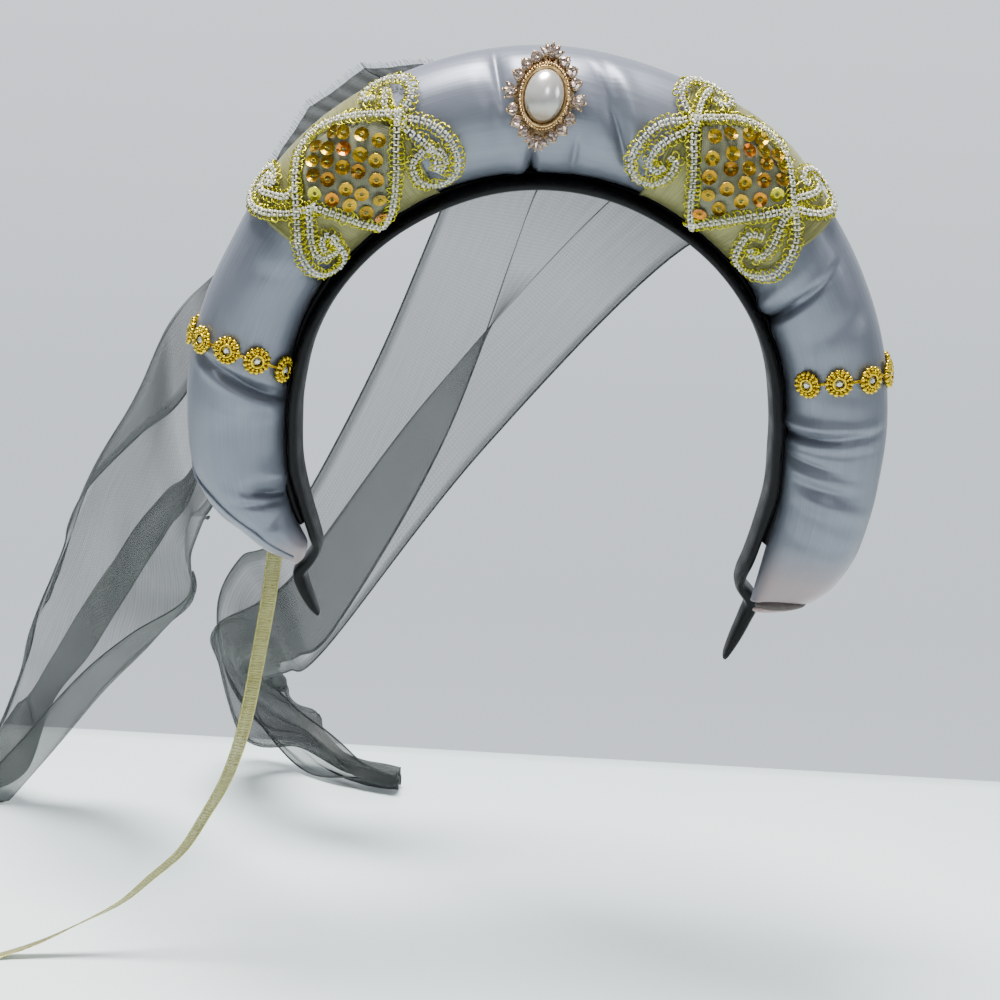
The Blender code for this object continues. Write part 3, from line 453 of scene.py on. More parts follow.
def blackClothLook():
    look, tree, shader, place = newLook("blackRibbed", "cloth", {
        "Roughness": 0.4, "Specular IOR Level": 0.1})
    threads = crossedThreads(place, 0.7, 2.6, 0.2)
    patchy = softPatches(place, 7.0)
    feed(shader, "Base Color", mixColours(tree, patchy, (0.002, 0.002, 0.0025), (0.006, 0.006, 0.007)))
    feed(shader, "Roughness", remap(tree, patchy, 0.32, 0.52))
    addBump(tree, shader, threads["Height"], 0.5, 0.2)
    return look


def tissueLook():  # olive gold tissue, its metal threads running round the roll
    look, tree, shader, place = newLook("oliveGoldTissue", "cloth", {
        "Roughness": 0.42, "Metallic": 0.45, "Sheen Weight": 0.2, "Sheen Tint": (0.9, 0.9, 0.6, 1.0)})
    threads = crossedThreads(place, 0.95, 0.42, 0.5)
    streaks = longStreaks(place, 0.5, 14.0)
    patchy = softPatches(place, 9.0)
    tone = mixColours(tree, patchy, (0.09, 0.085, 0.018), (0.16, 0.15, 0.036))
    tone = mixColours(tree, remap(tree, streaks, 0.0, 0.7, 0.4, 0.65), tone, (0.26, 0.25, 0.085))
    tone = mixColours(tree, remap(tree, threads["Open"], 0.0, 0.7, 0.0, 0.8), tone, (0.06, 0.066, 0.04))
    feed(shader, "Base Color", tone)
    feed(shader, "Roughness", remap(tree, streaks, 0.34, 0.55, 0.35, 0.65))
    addBump(tree, shader, threads["Height"], 0.35, 0.12)
    return look


def netLook():
    look, tree, shader, place = newLook("paleNet", "cloth", {"Roughness": 0.55, "Metallic": 0.15})
    threads = crossedThreads(place, 0.7, 0.7, 0.4)
    patchy = softPatches(place, 6.0)
    tone = mixColours(tree, patchy, (0.10, 0.10, 0.05), (0.17, 0.175, 0.10))
    gaps = remap(tree, threads["Open"], 0.0, 1.0, 0.1, 0.7)
    feed(shader, "Base Color", mixColours(tree, gaps, tone, (0.05, 0.052, 0.028)))
    addBump(tree, shader, threads["Height"], 0.5, 0.15)
    return look


def metalLook(name, colours, roughness, size=1.5, bump=0.1):
    look, tree, shader, place = newLook(name, "object", {"Metallic": 1.0, "Roughness": roughness[0]})
    patchy = softPatches(place, size)
    feed(shader, "Base Color", mixColours(tree, patchy, *colours))
    feed(shader, "Roughness", remap(tree, patchy, roughness[1], roughness[0]))
    if bump:
        addBump(tree, shader, patchy, bump, 0.1)
    return look


def silverThreadLook():  # silver-white corded thread with a twist
    look, tree, shader, place = newLook("silverThread", "object", {
        "Roughness": 0.3, "Metallic": 0.25, "Specular IOR Level": 0.7, "Coat Weight": 0.4,
        "Coat Roughness": 0.15})
    patchy = softPatches(place, 0.9)
    twist = longStreaks(place, 0.5, 0.16, 1.0)
    tone = mixColours(tree, patchy, (0.26, 0.255, 0.19), (0.93, 0.91, 0.82))
    grooves = remap(tree, twist, 0.0, 0.6, 0.45, 0.65)
    feed(shader, "Base Color", mixColours(tree, grooves, tone, (0.20, 0.20, 0.09)))
    addBump(tree, shader, twist, 0.4, 0.1)
    return look


def sequinLook():
    look, tree, shader, place = newLook("goldSequin", "object", {
        "Metallic": 0.95, "Roughness": 0.2, "Coat Weight": 0.15, "Coat Roughness": 0.05})
    foil = colourRamp(tree, pointValue(tree, "tint"), [
        (0.0, (0.13, 0.07, 0.001)), (0.25, (0.40, 0.25, 0.002)), (0.45, (0.19, 0.075, 0.001)),
        (0.62, (0.33, 0.19, 0.002)), (0.76, (0.38, 0.085, 0.001)), (0.88, (0.30, 0.15, 0.001)),
        (0.95, (0.10, 0.25, 0.003)), (1.0, (0.50, 0.37, 0.008))])
    glint = softPatches(place, 1.1)
    shine = remap(tree, glint, 0.0, 0.4, 0.65, 1.0)
    feed(shader, "Base Color", mixColours(tree, shine, foil, (0.66, 0.40, 0.012)))
    feed(shader, "Roughness", remap(tree, glint, 0.14, 0.32))
    return look


def crystalLook(name, colour, paintedShade):
    look, tree, shader, place = newLook(name, "object", {
        "Metallic": 0.55, "Roughness": 0.07, "Coat Weight": 1.0, "Coat Roughness": 0.02})
    # patches between dark and bright: painted shade and painted reflection across the stones' facets
    patchy = softPatches(place, 0.8)
    feed(shader, "Base Color", mixColours(tree, patchy, paintedShade, colour))
    return look


def pearlLook():
    look, tree, shader, place = newLook("pearlGlaze", "object", {
        "Roughness": 0.24, "Metallic": 0.65, "Coat Weight": 1.0, "Coat Roughness": 0.08})
    patchy = softPatches(place, 7.0)
    # darker and browner towards its outline: painted shade round the pearl's rim
    edge = addNode(tree, "ShaderNodeLayerWeight", {"Blend": 0.4}).outputs["Facing"]
    tone = mixColours(tree, patchy, (0.52, 0.50, 0.475), (0.70, 0.685, 0.66))
    tone = mixColours(tree, remap(tree, edge, 0.0, 0.6, 0.35, 1.0), tone, (0.34, 0.29, 0.24))
    # the brown lower part is a painted reflection of the head below the pearl
    low = pointValue(tree, "low")
    feed(shader, "Base Color", mixColours(tree, low, tone, (0.12, 0.08, 0.042)))
    return look


def organzaLook(name, low, high):  # see-through black organza: alpha follows its threads
    look, tree, shader, place = newLook(name, "cloth", {"Roughness": 0.6, "Specular IOR Level": 0.3})
    threads = crossedThreads(place, 1.5, 1.1, 0.15)
    streaks = longStreaks(place, 30.0, 0.8)
    patchy = softPatches(place, 18.0)
    feed(shader, "Base Color", mixColours(tree, patchy, (0.018, 0.021, 0.021), (0.032, 0.036, 0.035)))
    weave = remap(tree, threads["Height"], low, high, 0.3, 1.0)
    fine = calc(tree, "ADD", weave, remap(tree, streaks, -0.02, 0.02, 0.35, 0.65))
    edge = addNode(tree, "ShaderNodeLayerWeight", {"Blend": 0.5}).outputs["Facing"]
    alpha = calc(tree, "ADD", fine, remap(tree, edge, 0.0, 0.55, 0.35, 1.0))
    dense = pointValue(tree, "dense")
    clear = calc(tree, "SUBTRACT", 1.0, calc(tree, "MINIMUM", alpha, 1.0))
    bare = calc(tree, "MULTIPLY", clear, calc(tree, "SUBTRACT", 1.0, dense))
    feed(shader, "Alpha", calc(tree, "SUBTRACT", 1.0, bare))
    return look


def meshRibbonLook():
    look, tree, shader, place = newLook("goldMesh", "cloth", {"Metallic": 0.6, "Roughness": 0.4})
    threads = crossedThreads(place, 0.8, 0.55)
    patchy = softPatches(place, 8.0)
    feed(shader, "Base Color", mixColours(tree, patchy, (0.27, 0.25, 0.085), (0.42, 0.40, 0.19)))
    feed(shader, "Alpha", remap(tree, threads["Height"], 0.35, 0.95, 0.3, 1.0))
    addBump(tree, shader, threads["Height"], 0.5, 0.15)
    return look


satin, blackCloth = satinLook(), blackClothLook()
lining = liningLook("rosyLining", (0.20, 0.135, 0.13), (0.34, 0.25, 0.25))
# a very dark copy of the lining: painted shade for the shadowed inside of the pocket slit
pocketShadeCloth = liningLook("paintedShadeLining", (0.025, 0.016, 0.016), (0.05, 0.034, 0.034))
tissue, net, sequinFoil = tissueLook(), netLook(), sequinLook()
silverThread = silverThreadLook()
goldWire = metalLook("goldWire", ((0.20, 0.18, 0.004), (0.64, 0.59, 0.02)), (0.36, 0.18), 0.7, 0.15)
tieWire = metalLook("tieWire", ((0.26, 0.24, 0.06), (0.55, 0.52, 0.20)), (0.42, 0.26), 0.9, 0.1)
flowerGold = metalLook("flowerGold", ((0.33, 0.22, 0.004), (0.74, 0.53, 0.02)), (0.32, 0.18), 0.9, 0.1)
roseGold = metalLook("roseGold", ((0.20, 0.125, 0.06), (0.55, 0.39, 0.23)), (0.34, 0.18), 1.2, 0.1)
bezelGold = metalLook("bezelGold", ((0.36, 0.22, 0.08), (0.74, 0.52, 0.26)), (0.28, 0.16), 1.2, 0.1)
# each stone look: its lit colour, then its painted shade
clearStone = crystalLook("clearStone", (0.66, 0.66, 0.67), (0.16, 0.16, 0.165))
blushStone = crystalLook("blushStone", (0.37, 0.275, 0.235), (0.10, 0.066, 0.052))
pearlGlaze = pearlLook()
organza = organzaLook("blackOrganza", 0.40, 0.48)
organzaHem = organzaLook("blackOrganzaHem", 0.85, 0.95)
goldMesh = meshRibbonLook()
print("looks made")


# Geometry Nodes: one shape set at every point of a carrier mesh
placerInputs = [  # label, kind of socket, value
    ("Geometry", "Geometry", None), ("Shape", "Object", None), ("Size", "Float", 1.0),
    ("Size Spread", "Float", 0.0), ("Spin Spread", "Float", 0.0), ("Lean Spread", "Float", 0.0),
    ("Seed", "Int", 3), ("Finish", "Material", None),
]


def buildPlacer():
    tree = bpy.data.node_groups.new("setOnPoints", "GeometryNodeTree")
    ids = {}
    for label, kind, value in placerInputs:
        socket = tree.interface.new_socket(label, in_out="INPUT", socket_type="NodeSocket" + kind)
        if value is not None:
            socket.default_value = value
        ids[label] = socket.identifier
    tree.interface.new_socket("Geometry", in_out="OUTPUT", socket_type="NodeSocketGeometry")
    given = tree.nodes.new("NodeGroupInput").outputs
    out = tree.nodes.new("NodeGroupOutput").inputs

    def inUse(sockets, label):  # the socket of that name for the node's kind of data
        return next(s for s in sockets if s.enabled and s.name == label)

    def named(label):
        made = addNode(tree, "GeometryNodeInputNamedAttribute", {"Name": label}, data_type="FLOAT_VECTOR")
        return inUse(made.outputs, "Attribute")

    def scatter(low, high, offset):  # a random value for each point
        made = addNode(tree, "FunctionNodeRandomValue", data_type="FLOAT")
        setSocket(inUse(made.inputs, "Min"), low)
        setSocket(inUse(made.inputs, "Max"), high)
        setSocket(inUse(made.inputs, "Seed"), calc(tree, "ADD", given["Seed"], float(offset)))
        return inUse(made.outputs, "Value")

    points = addNode(tree, "GeometryNodeMeshToPoints", {"Mesh": given["Geometry"]})
    frameTurn = addNode(tree, "FunctionNodeAxesToRotation", {
        "Primary Axis": named("facing"), "Secondary Axis": named("ahead")},
        primary_axis="Z", secondary_axis="X")
    lean, spin = given["Lean Spread"], given["Spin Spread"]
    leanBack, spinBack = calc(tree, "MULTIPLY", lean, -1.0), calc(tree, "MULTIPLY", spin, -1.0)
    angles = addNode(tree, "ShaderNodeCombineXYZ", {
        "X": scatter(leanBack, lean, 11), "Y": scatter(leanBack, lean, 12), "Z": scatter(spinBack, spin, 13)})
    euler = addNode(tree, "FunctionNodeEulerToRotation", {0: angles.outputs[0]})
    turned = addNode(tree, "FunctionNodeRotateRotation", {
        "Rotation": frameTurn.outputs[0], "Rotate By": euler.outputs[0]}, rotation_space="LOCAL")
    low = calc(tree, "SUBTRACT", 1.0, given["Size Spread"])
    high = calc(tree, "ADD", 1.0, given["Size Spread"])
    shape = addNode(tree, "GeometryNodeObjectInfo", {"Object": given["Shape"]})
    placed = addNode(tree, "GeometryNodeInstanceOnPoints", {
        "Points": points.outputs[0], "Instance": shape.outputs["Geometry"], "Rotation": turned.outputs[0],
        "Scale": calc(tree, "MULTIPLY", scatter(low, high, 14), given["Size"])})
    marked = addNode(tree, "GeometryNodeStoreNamedAttribute", {"Geometry": placed.outputs[0], "Name": "tint"},
                     domain="INSTANCE", data_type="FLOAT")
    setSocket(inUse(marked.inputs, "Value"), scatter(0.0, 1.0, 15))
    real = addNode(tree, "GeometryNodeRealizeInstances", {"Geometry": marked.outputs[0]})
    finish = addNode(tree, "GeometryNodeSetMaterial", {
        "Geometry": real.outputs[0], "Material": given["Finish"]})
    setSocket(out["Geometry"], finish.outputs[0])
    return tree, ids


placer, placerIds = buildPlacer()


def setOnPoints(name, places, facing, ahead, shape, finish, smooth=True, **values):
    template = makeObject(name + "Shape", shape[0], shape[1], smooth=smooth)
    mesh = bpy.data.meshes.new(name + "Points")
    mesh.from_pydata((np.asarray(places, float) * mm).tolist(), [], [])
    for label, data in (("facing", facing), ("ahead", ahead)):
        layer = mesh.attributes.new(label, "FLOAT_VECTOR", "POINT")
        layer.data.foreach_set("vector", np.asarray(data, np.float32).ravel())
    carrier = bpy.data.objects.new(name + "Points", mesh)
    bpy.context.scene.collection.objects.link(carrier)
    step = carrier.modifiers.new("setOnPoints", "NODES")
    step.node_group = placer
    step[placerIds["Shape"]] = template
    step[placerIds["Finish"]] = finish
    for label, value in values.items():
        step[placerIds[label]] = value
    graph = bpy.context.evaluated_depsgraph_get()
    made = bpy.data.meshes.new_from_object(carrier.evaluated_get(graph))
    carrier.modifiers.clear()
    made.name = name
    obj = bpy.data.objects.new(name, made)
    bpy.context.scene.collection.objects.link(obj)
    bpy.data.objects.remove(carrier)
    bpy.data.objects.remove(template)
    return obj


def joinObjects(name, parts):
    base = parts[0]
    chosen = {"active_object": base, "selected_editable_objects": parts, "selected_objects": parts}
    with bpy.context.temp_override(**chosen):
        bpy.ops.object.join()
    base.name = name
    base.data.name = name
    return base


def keep(obj, slot, *nodes):
    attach(obj, "root")
    if nodes:
        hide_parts(*nodes)
    return obj


# the padded satin roll
rollMake = {"steps": 620, "sides": 128, "sharp": 0.55, "wrinkles": 50, "seed": 5, "clothWidth": 122.0}
pocketRows = [  # the cloth turned into the right end: size of the ring, depth, run of the cloth
    (0.985, -0.35, 0.4), (0.95, -0.45, 0.9), (0.91, -0.1, 1.5), (0.88, 0.8, 2.5), (0.80, 4.0, 6.0),
    (0.66, 8.0, 11.0), (0.42, 11.5, 15.0), (0.12, 13.0, 18.0),
]
seamLine = [(-103.0, -8), (-106.0, 20), (-109.0, 44), (-113.0, 60), (-118.0, 70), (-122.0, 76), (-126.2, 79)]
rollPuckers = [  # the same columns as rollFolds
    (-86.2, 95.0, 95.0, 1.2, 1.5, 1.3, -3.4, -5.5), (-84.4, 60.0, 60.0, 1.6, 0.5, 0.6, 3.0, -5.0),
    (-96.0, 100.0, 70.0, 4.5, 0.5, 0.7, 7.0, 2.0), (-112.6, 120.0, 70.0, 1.4, 1.0, 0.9, 3.2, -3.0),
    (-117.0, 110.0, 60.0, 2.0, 0.5, 0.6, -4.0, 3.0), (63.0, 112.0, 84.0, 1.3, 1.5, 1.5, -3.4, 5.5),
    (59.6, 100.0, 60.0, 2.6, 0.4, 0.8, -4.0, 4.0), (91.2, 100.0, 92.0, 1.3, 0.9, 1.0, -2.9, 1.0),
    (94.6, 110.0, 84.0, 1.2, 0.5, 0.6, -2.6, 1.5), (98.6, 112.0, 76.0, 1.3, 0.3, 0.5, 3.0, 0.0),
    (103.0, 95.0, 84.0, 1.5, 0.25, 0.6, 3.4, -1.0), (107.6, 100.0, 76.0, 1.8, 0.2, 0.6, 4.0, -2.0),
    (113.0, 100.0, 60.0, 2.0, 0.25, 0.4, 4.0, -1.0), (11.0, 70.0, 70.0, 1.6, 0.6, 0.7, 3.6, 8.0),
    (-12.0, 70.0, 70.0, 2.0, 0.4, 0.6, 4.2, 2.0), (-64.0, 100.0, 60.0, 3.0, 0.4, 0.5, 5.0, 3.0),
    (70.0, 80.0, 70.0, 3.4, 0.5, 0.5, 6.0, 3.0), (82.0, 95.0, 60.0, 3.0, 0.3, 0.5, 5.0, -2.0),
]


def smallWrinkles():
    rng = np.random.default_rng(rollMake["seed"])
    rows = list(rollPuckers)
    for k in range(rollMake["wrinkles"]):
        side = rng.choice([158.0, 205.0, 235.0, 100.0], p=[0.42, 0.25, 0.2, 0.13])
        place = (rng.uniform(-122, 121), side + rng.uniform(-14, 14))
        size = (rng.uniform(22, 48), rng.uniform(0.9, 2.2), rng.uniform(0.06, 0.26))
        rows.append((*place, *size, rng.uniform(0.0, 0.2), rng.uniform(-4, 4), rng.uniform(-9, 9)))
    return rows


def rollSteps():  # angles along the roll, closer together in its folds and near its ends
    fine = np.linspace(rollAngles[0], rollAngles[-1], 4000)
    density = np.full(fine.shape, 1.0)
    for row in rollFolds:
        density = density + 0.9 * np.exp(-((fine - row[0]) / 3.5) ** 2)
    density = density + 1.2 * np.exp(-((np.abs(fine) - 125.0) / 4.0) ** 2)
    run = np.concatenate([[0], np.cumsum((density[1:] + density[:-1]) / 2)])
    return np.interp(np.linspace(0, run[-1], rollMake["steps"]), run, fine)


def buildRoll():
    wrinkles, angles, sides = smallWrinkles(), rollSteps(), rollMake["sides"]
    around = np.arange(sides) * 360.0 / sides
    body = onRoll(angles[:, None], around[None, :], 0.0, rollMake["sharp"], wrinkles)
    end, start = body[-1], body[0]
    middle, tip = end.mean(axis=0), start.mean(axis=0)
    inward = unit(body[-12].mean(axis=0) - middle)
    pocket = [(middle + (end - middle) * size + inward * depth)[None] for size, depth, run in pocketRows]
    caps = [(tip + (start - tip) * size)[None] for size in (0.02, 0.6)]
    grid = np.concatenate(caps + [body] + pocket)
    u = np.radians(angles) * ring["runRadius"] + 300.0
    u = np.concatenate([[-4.0, -2.0], u, u[-1] + np.array([run for size, depth, run in pocketRows])])
    points, faces, corners = gridShape(
        grid, closed=True, uv=gridPlaces(u, np.linspace(0.0, rollMake["clothWidth"], sides + 1)))
    obj = makeObject("satinRoll", points, faces, [satin, lining], corners)
    slots = np.zeros(len(obj.data.polygons), np.int32)
    slots[(len(grid) - 6) * sides:] = 1  # the last rows of the pocket show the lining
    obj.data.polygons.foreach_set("material_index", slots)
    along = np.concatenate([[angles[0]] * len(caps), angles, [angles[-1]] * len(pocket)])[:, None]
    facing = np.clip(np.sin(np.radians(around)) * 1.6, 0.0, 1.0)[None]
    rosy = facing * np.clip(np.maximum((along - 113.0) / 9.0, (-119.5 - along) / 7.0), 0.0, 1.0) ** 1.5
    writeValues(obj, "rosy", rosy)  # the cloth is paler and pinker where it is turned in: partly its own paler side, partly a painted reflection of the face beside it
    return facesOut(obj, closeEnds=True)


rimMake = {"around": (28.0, 158.0), "steps": 40, "sides": 10, "thin": 0.35, "thick": 1.0, "run": 60.0}
rimRows = [  # name, distance past the roll's end, pull to its middle, thickness, look
    # the second row is a dark tube of painted shade filling the slit inside the lip
    ("roundLip", 3.2, 0.1, 1.0, lining), ("pocketLining", 1.3, 0.12, 1.3, pocketShadeCloth),
]
seamMake = {"lift": 0.25, "steps": 90, "radius": 0.55, "sides": 8}


def buildRims():  # the round lip of the right end, and just inside it a dark tube of painted shade for the shadowed slit
    around = np.linspace(*rimMake["around"], rimMake["steps"])
    edge, before = onRoll(rollAngles[-1], around), onRoll(rollAngles[-1] - 1.2, around)
    swell = np.sin(np.linspace(0.0, math.pi, rimMake["steps"])) ** 0.7
    radius = rimMake["thin"] + rimMake["thick"] * swell
    made = []
    for name, past, pull, thickness, look in rimRows:
        line = edge + unit(edge - before) * past + (edge.mean(axis=0) - edge) * pull
        shape = tubeShape(line, thickness * radius, rimMake["sides"])
        made.append(sewnTube(name, shape, look, rimMake["run"]))
    return made


def buildSeam():  # the sewn seam near the left end
    spots = [onRoll(angle, around, seamMake["lift"]) for angle, around in seamLine]
    line = smoothRows(spots, np.linspace(0, len(spots) - 1, seamMake["steps"]))
    return sewnTube("satinSeam", tubeShape(line, seamMake["radius"], seamMake["sides"]), satin)


roll = keep(buildRoll(), "satin", "roll")
for piece in (*buildRims(), buildSeam()):
    keep(piece, "satin")
print("roll made", len(roll.data.polygons))

# the black band inside the roll
bandSections = [  # x, y, halfThickness, halfWidth, depthCentre
    (-69.0, -81.6, 0.7, 2.4, -8.0), (-71.4, -77.6, 1.6, 4.0, -8.0), (-74.2, -71.6, 2.1, 5.2, -8.0),
    (-75.4, -66.2, 2.3, 5.4, -8.2), (-72.0, -61.4, 1.9, 5.6, -8.0), (-69.8, -56.0, 1.8, 6.2, -6.5),
    (-70.9, -49.5, 1.7, 7.6, -4.0), (-74.0, -39.0, 1.7, 8.4, -3.0), (-77.1, -26.0, 2.2, 9.0, -2.0),
    (-77.6, -13.0, 2.2, 9.6, -1.0), (-77.0, 0.0, 2.2, 10.0, 0.0), (-73.4, 18.0, 2.2, 10.4, 0.0),
    (-65.2, 34.6, 1.7, 10.8, 0.0), (-52.4, 50.0, 1.7, 11.0, 0.0), (-36.2, 61.6, 1.7, 11.0, 0.0),
    (-18.5, 69.1, 2.0, 11.0, 0.0), (0.0, 71.5, 2.0, 11.0, 0.0), (18.5, 69.1, 2.0, 11.0, 0.0),
    (36.2, 61.6, 1.7, 11.0, 0.0), (52.4, 50.0, 1.7, 11.0, 0.0), (65.0, 34.6, 1.7, 10.8, 0.0),
    (72.9, 18.0, 2.2, 10.4, 0.0), (76.3, 0.0, 2.2, 10.0, 0.0), (77.2, -13.0, 2.2, 9.6, -1.0),
    (77.4, -26.0, 2.2, 9.0, -2.0), (75.0, -39.0, 1.7, 8.4, -3.0), (72.6, -50.0, 1.7, 7.6, -4.0),
    (71.0, -58.0, 1.8, 6.4, -8.0), (71.6, -63.4, 2.0, 5.6, -11.6), (75.6, -69.4, 2.4, 5.2, -12.4),
    (74.0, -76.0, 2.2, 4.8, -12.4), (71.4, -83.2, 1.8, 4.2, -12.2), (69.2, -89.0, 1.1, 3.2, -12.0),
    (68.6, -91.0, 0.6, 2.0, -12.0),
]


bandMake = {"rowsPerStep": 8, "sides": 32, "flatness": 0.55, "rounding": 0.75, "clothWidth": 50.0}
bandSeamMake = {"angles": (-122.0, 120.0), "steps": 250, "sides": 12, "spare": 0.45, "halfWidth": 3.4,
                "clothWidth": 16.0, "runScale": 1.35}


def buildBand():
    rows = smoothRows(bandSections, np.linspace(
        0, len(bandSections) - 1, bandMake["rowsPerStep"] * len(bandSections)))
    ahead = unit(np.gradient(rows[:, :2], axis=0))
    out = np.stack([-ahead[:, 1], ahead[:, 0]], axis=-1)
    turn = np.arange(bandMake["sides"]) * math.tau / bandMake["sides"]
    thick = np.sign(np.cos(turn)) * np.abs(np.cos(turn)) ** bandMake["flatness"]
    wide = np.sign(np.sin(turn)) * np.abs(np.sin(turn)) ** bandMake["rounding"]
    flat = rows[:, None, :2] + out[:, None] * (rows[:, 2:3] * thick)[..., None]
    grid = fromRing(flat[..., 0], flat[..., 1], rows[:, 4:5] + rows[:, 3:4] * wide)
    uv = gridPlaces(runOf(rows[:, :2]), np.linspace(0, bandMake["clothWidth"], bandMake["sides"] + 1))
    points, faces, corners = gridShape(grid, closed=True, uv=uv)
    obj = makeObject("headBand", points, faces, [blackCloth], corners)
    return facesOut(obj, closeEnds=True)


def buildBandSeam():  # the black seam that closes the sliver between band and roll
    rows = smoothRows(bandSections, np.linspace(0, len(bandSections) - 1, 300))
    at = np.degrees(np.arctan2(rows[:, 0], rows[:, 1]))
    angles = np.linspace(*bandSeamMake["angles"], bandSeamMake["steps"])
    outer = np.interp(angles, at, np.hypot(rows[:, 0], rows[:, 1]) + rows[:, 2])
    depth = np.interp(angles, at, rows[:, 4])
    edge = onRoll(angles, 180.0)
    inner = np.hypot(edge[:, 0], (-edge[:, 1] * math.sin(ring["tilt"]) + edge[:, 2] * math.cos(ring["tilt"]))
                     + ring["seatRadius"])
    middle, half = (outer + inner) / 2, np.maximum(inner - outer, 0.0) / 2 + bandSeamMake["spare"]
    turn = np.arange(bandSeamMake["sides"]) * math.tau / bandSeamMake["sides"]
    radius = middle[:, None] + half[:, None] * np.cos(turn)
    flat = onCircle(angles[:, None] + 0 * radius, radius)
    wide = bandSeamMake["halfWidth"] * np.sin(turn)
    grid = fromRing(flat[..., 0], flat[..., 1], depth[:, None] * 0.5 + wide)
    uv = gridPlaces(angles * bandSeamMake["runScale"],
                    np.linspace(0, bandSeamMake["clothWidth"], bandSeamMake["sides"] + 1))
    points, faces, corners = gridShape(grid, closed=True, uv=uv)
    obj = makeObject("bandSeam", points, faces, [blackCloth], corners)
    return facesOut(obj, closeEnds=True)


keep(buildBand(), "band_cloth", "band")
keep(buildBandSeam(), "band_cloth")

# gold tissue over the roll, and the sequined net squares
tissueMake = {  # left and right: first and last angle along the roll, first and last angle round it
    "left": (-56.5, -27.0, -135.0, 157.5), "right": (21.0, 52.5, -135.0, 157.5),
    "seeds": {"left": 21, "right": 22}, "lift": 0.95, "pulls": 26, "hem": 0.25, "thickness": 0.25,
    "flat": (0.048, 0.104),
}
netMake = {  # left and right: the square's corners on the roll
    "left": ((-40.6, 39.0), (-30.6, 72.0), (-40.6, 138.0), (-47.2, 79.0)),
    "right": ((36.8, 39.0), (26.6, 63.0), (33.6, 130.0), (43.4, 68.0)),
    "bulge": 7.0, "lift": 2.3, "sequinLift": 3.0, "count": 5, "stray": 0.022, "spread": 1.1,
    "seeds": {"left": 31, "right": 37}, "flat": (0.029, 0.034),
}


def buildTissue(side):
    first, last, low, high = tissueMake[side]
    angle, around = np.meshgrid(np.linspace(first, last, 70), np.linspace(low, high, 200), indexing="ij")
    rng = np.random.default_rng(tissueMake["seeds"][side])
    lift = np.full(angle.shape, tissueMake["lift"])
    for k in range(tissueMake["pulls"]):  # small pulls of the thin cloth round the sewn braid
        a, r = rng.uniform(first, last), rng.uniform(low, high)
        lean = rng.uniform(-0.5, 0.5)
        d = ((angle - a) * 1.6 + lean * (around - r)) / rng.uniform(0.8, 1.8)
        height = rng.uniform(-0.22, 0.28)
        lift = lift + height * np.exp(-d * d) * np.exp(-((around - r) / rng.uniform(10, 24)) ** 2)
    edge = np.minimum(angle - first, last - angle)
    lift = lift + tissueMake["hem"] * np.exp(-(edge / 0.9) ** 2)
    points = onRoll(angle, around, lift)
    uv = np.stack([np.radians(angle) * 93.0 + 100.0, (around + 140.0) / 360.0 * 122.0], axis=-1)
    shape = gridShape(points, uv=uv)
    obj = makeObject("goldTissue" + side.title(), shape[0], shape[1], [tissue], shape[2])
    step = obj.modifiers.new("cloth", "SOLIDIFY")
    step.thickness = tissueMake["thickness"] * mm
    step.offset = -1.0
    graph = bpy.context.evaluated_depsgraph_get()
    obj.data = bpy.data.meshes.new_from_object(obj.evaluated_get(graph))
    obj.modifiers.clear()
    return obj


def netPoint(side, u, v):
    rounded, crown, plain, ear = [np.array(c) for c in netMake[side]]
    u, v = np.asarray(u, float)[..., None], np.asarray(v, float)[..., None]
    flat = rounded * (1 - u) * (1 - v) + crown * u * (1 - v) + plain * u * v + ear * (1 - u) * v
    bow = np.sin(math.pi * u) * (1 - v) + np.sin(math.pi * v) * (1 - u)
    return flat + bow * np.array([0.0, -netMake["bulge"]])


def buildNet(side):
    u, v = np.meshgrid(np.linspace(-0.1, 1.1, 44), np.linspace(-0.1, 1.1, 44), indexing="ij")
    place = netPoint(side, u, v)
    lift = netMake["lift"] + 0.25 * np.sin(u * 15.7) * np.sin(v * 15.7)
    shape = gridShape(onRoll(place[..., 0], place[..., 1], lift), uv=np.stack([u * 30.0, v * 30.0], axis=-1))
    return makeObject("sequinNet" + side.title(), shape[0], shape[1], [net], shape[2])


def sequinShape():  # a faceted cup with a hole
    profile = [(0.56, 0.06), (1.0, 0.02), (1.98, 0.34), (2.03, 0.27), (1.0, -0.08), (0.56, -0.04),
               (0.56, 0.06)]
    return latheShape(profile, 14, lobes=7, depth=0.012)


def knotShape():  # the thread that holds a sequin
    path = [(-1.3, 0, 0.30), (-0.5, 0, 0.32), (0, 0, 0.12), (0.5, 0, 0.32), (1.3, 0, 0.30)]
    return tubeShape(path, 0.07, 5, up=(0, 1, 0))


def buildSequins(side):
    rng = np.random.default_rng(netMake["seeds"][side])
    count, stray = netMake["count"], netMake["stray"]
    spots = []
    for i in range(count):
        for j in range(count):
            if i == 0 and j == 0:
                continue
            spots.append([(at + 0.5) / count + rng.uniform(-stray, stray) for at in (i, j)])
    spots = 0.5 + (np.array(spots) - 0.5) * netMake["spread"]
    place = netPoint(side, spots[:, 0], spots[:, 1])
    facing = rollNormal(place[:, 0], place[:, 1])
    points = onRoll(place[:, 0], place[:, 1], netMake["sequinLift"])
    ahead = np.cross(facing, [0.0, 0.0, 1.0])
    discs = setOnPoints(
        "sequins" + side.title(), points, facing, ahead, sequinShape(), sequinFoil, smooth=False,
        **{"Size": 1.12, "Lean Spread": 0.24, "Spin Spread": 3.1, "Size Spread": 0.04, "Seed": 41})
    threads = setOnPoints(
        "sequinThread" + side.title(), points, facing, ahead, knotShape(), goldWire,
        **{"Spin Spread": 0.5, "Lean Spread": 0.1, "Seed": 43})
    return discs, threads


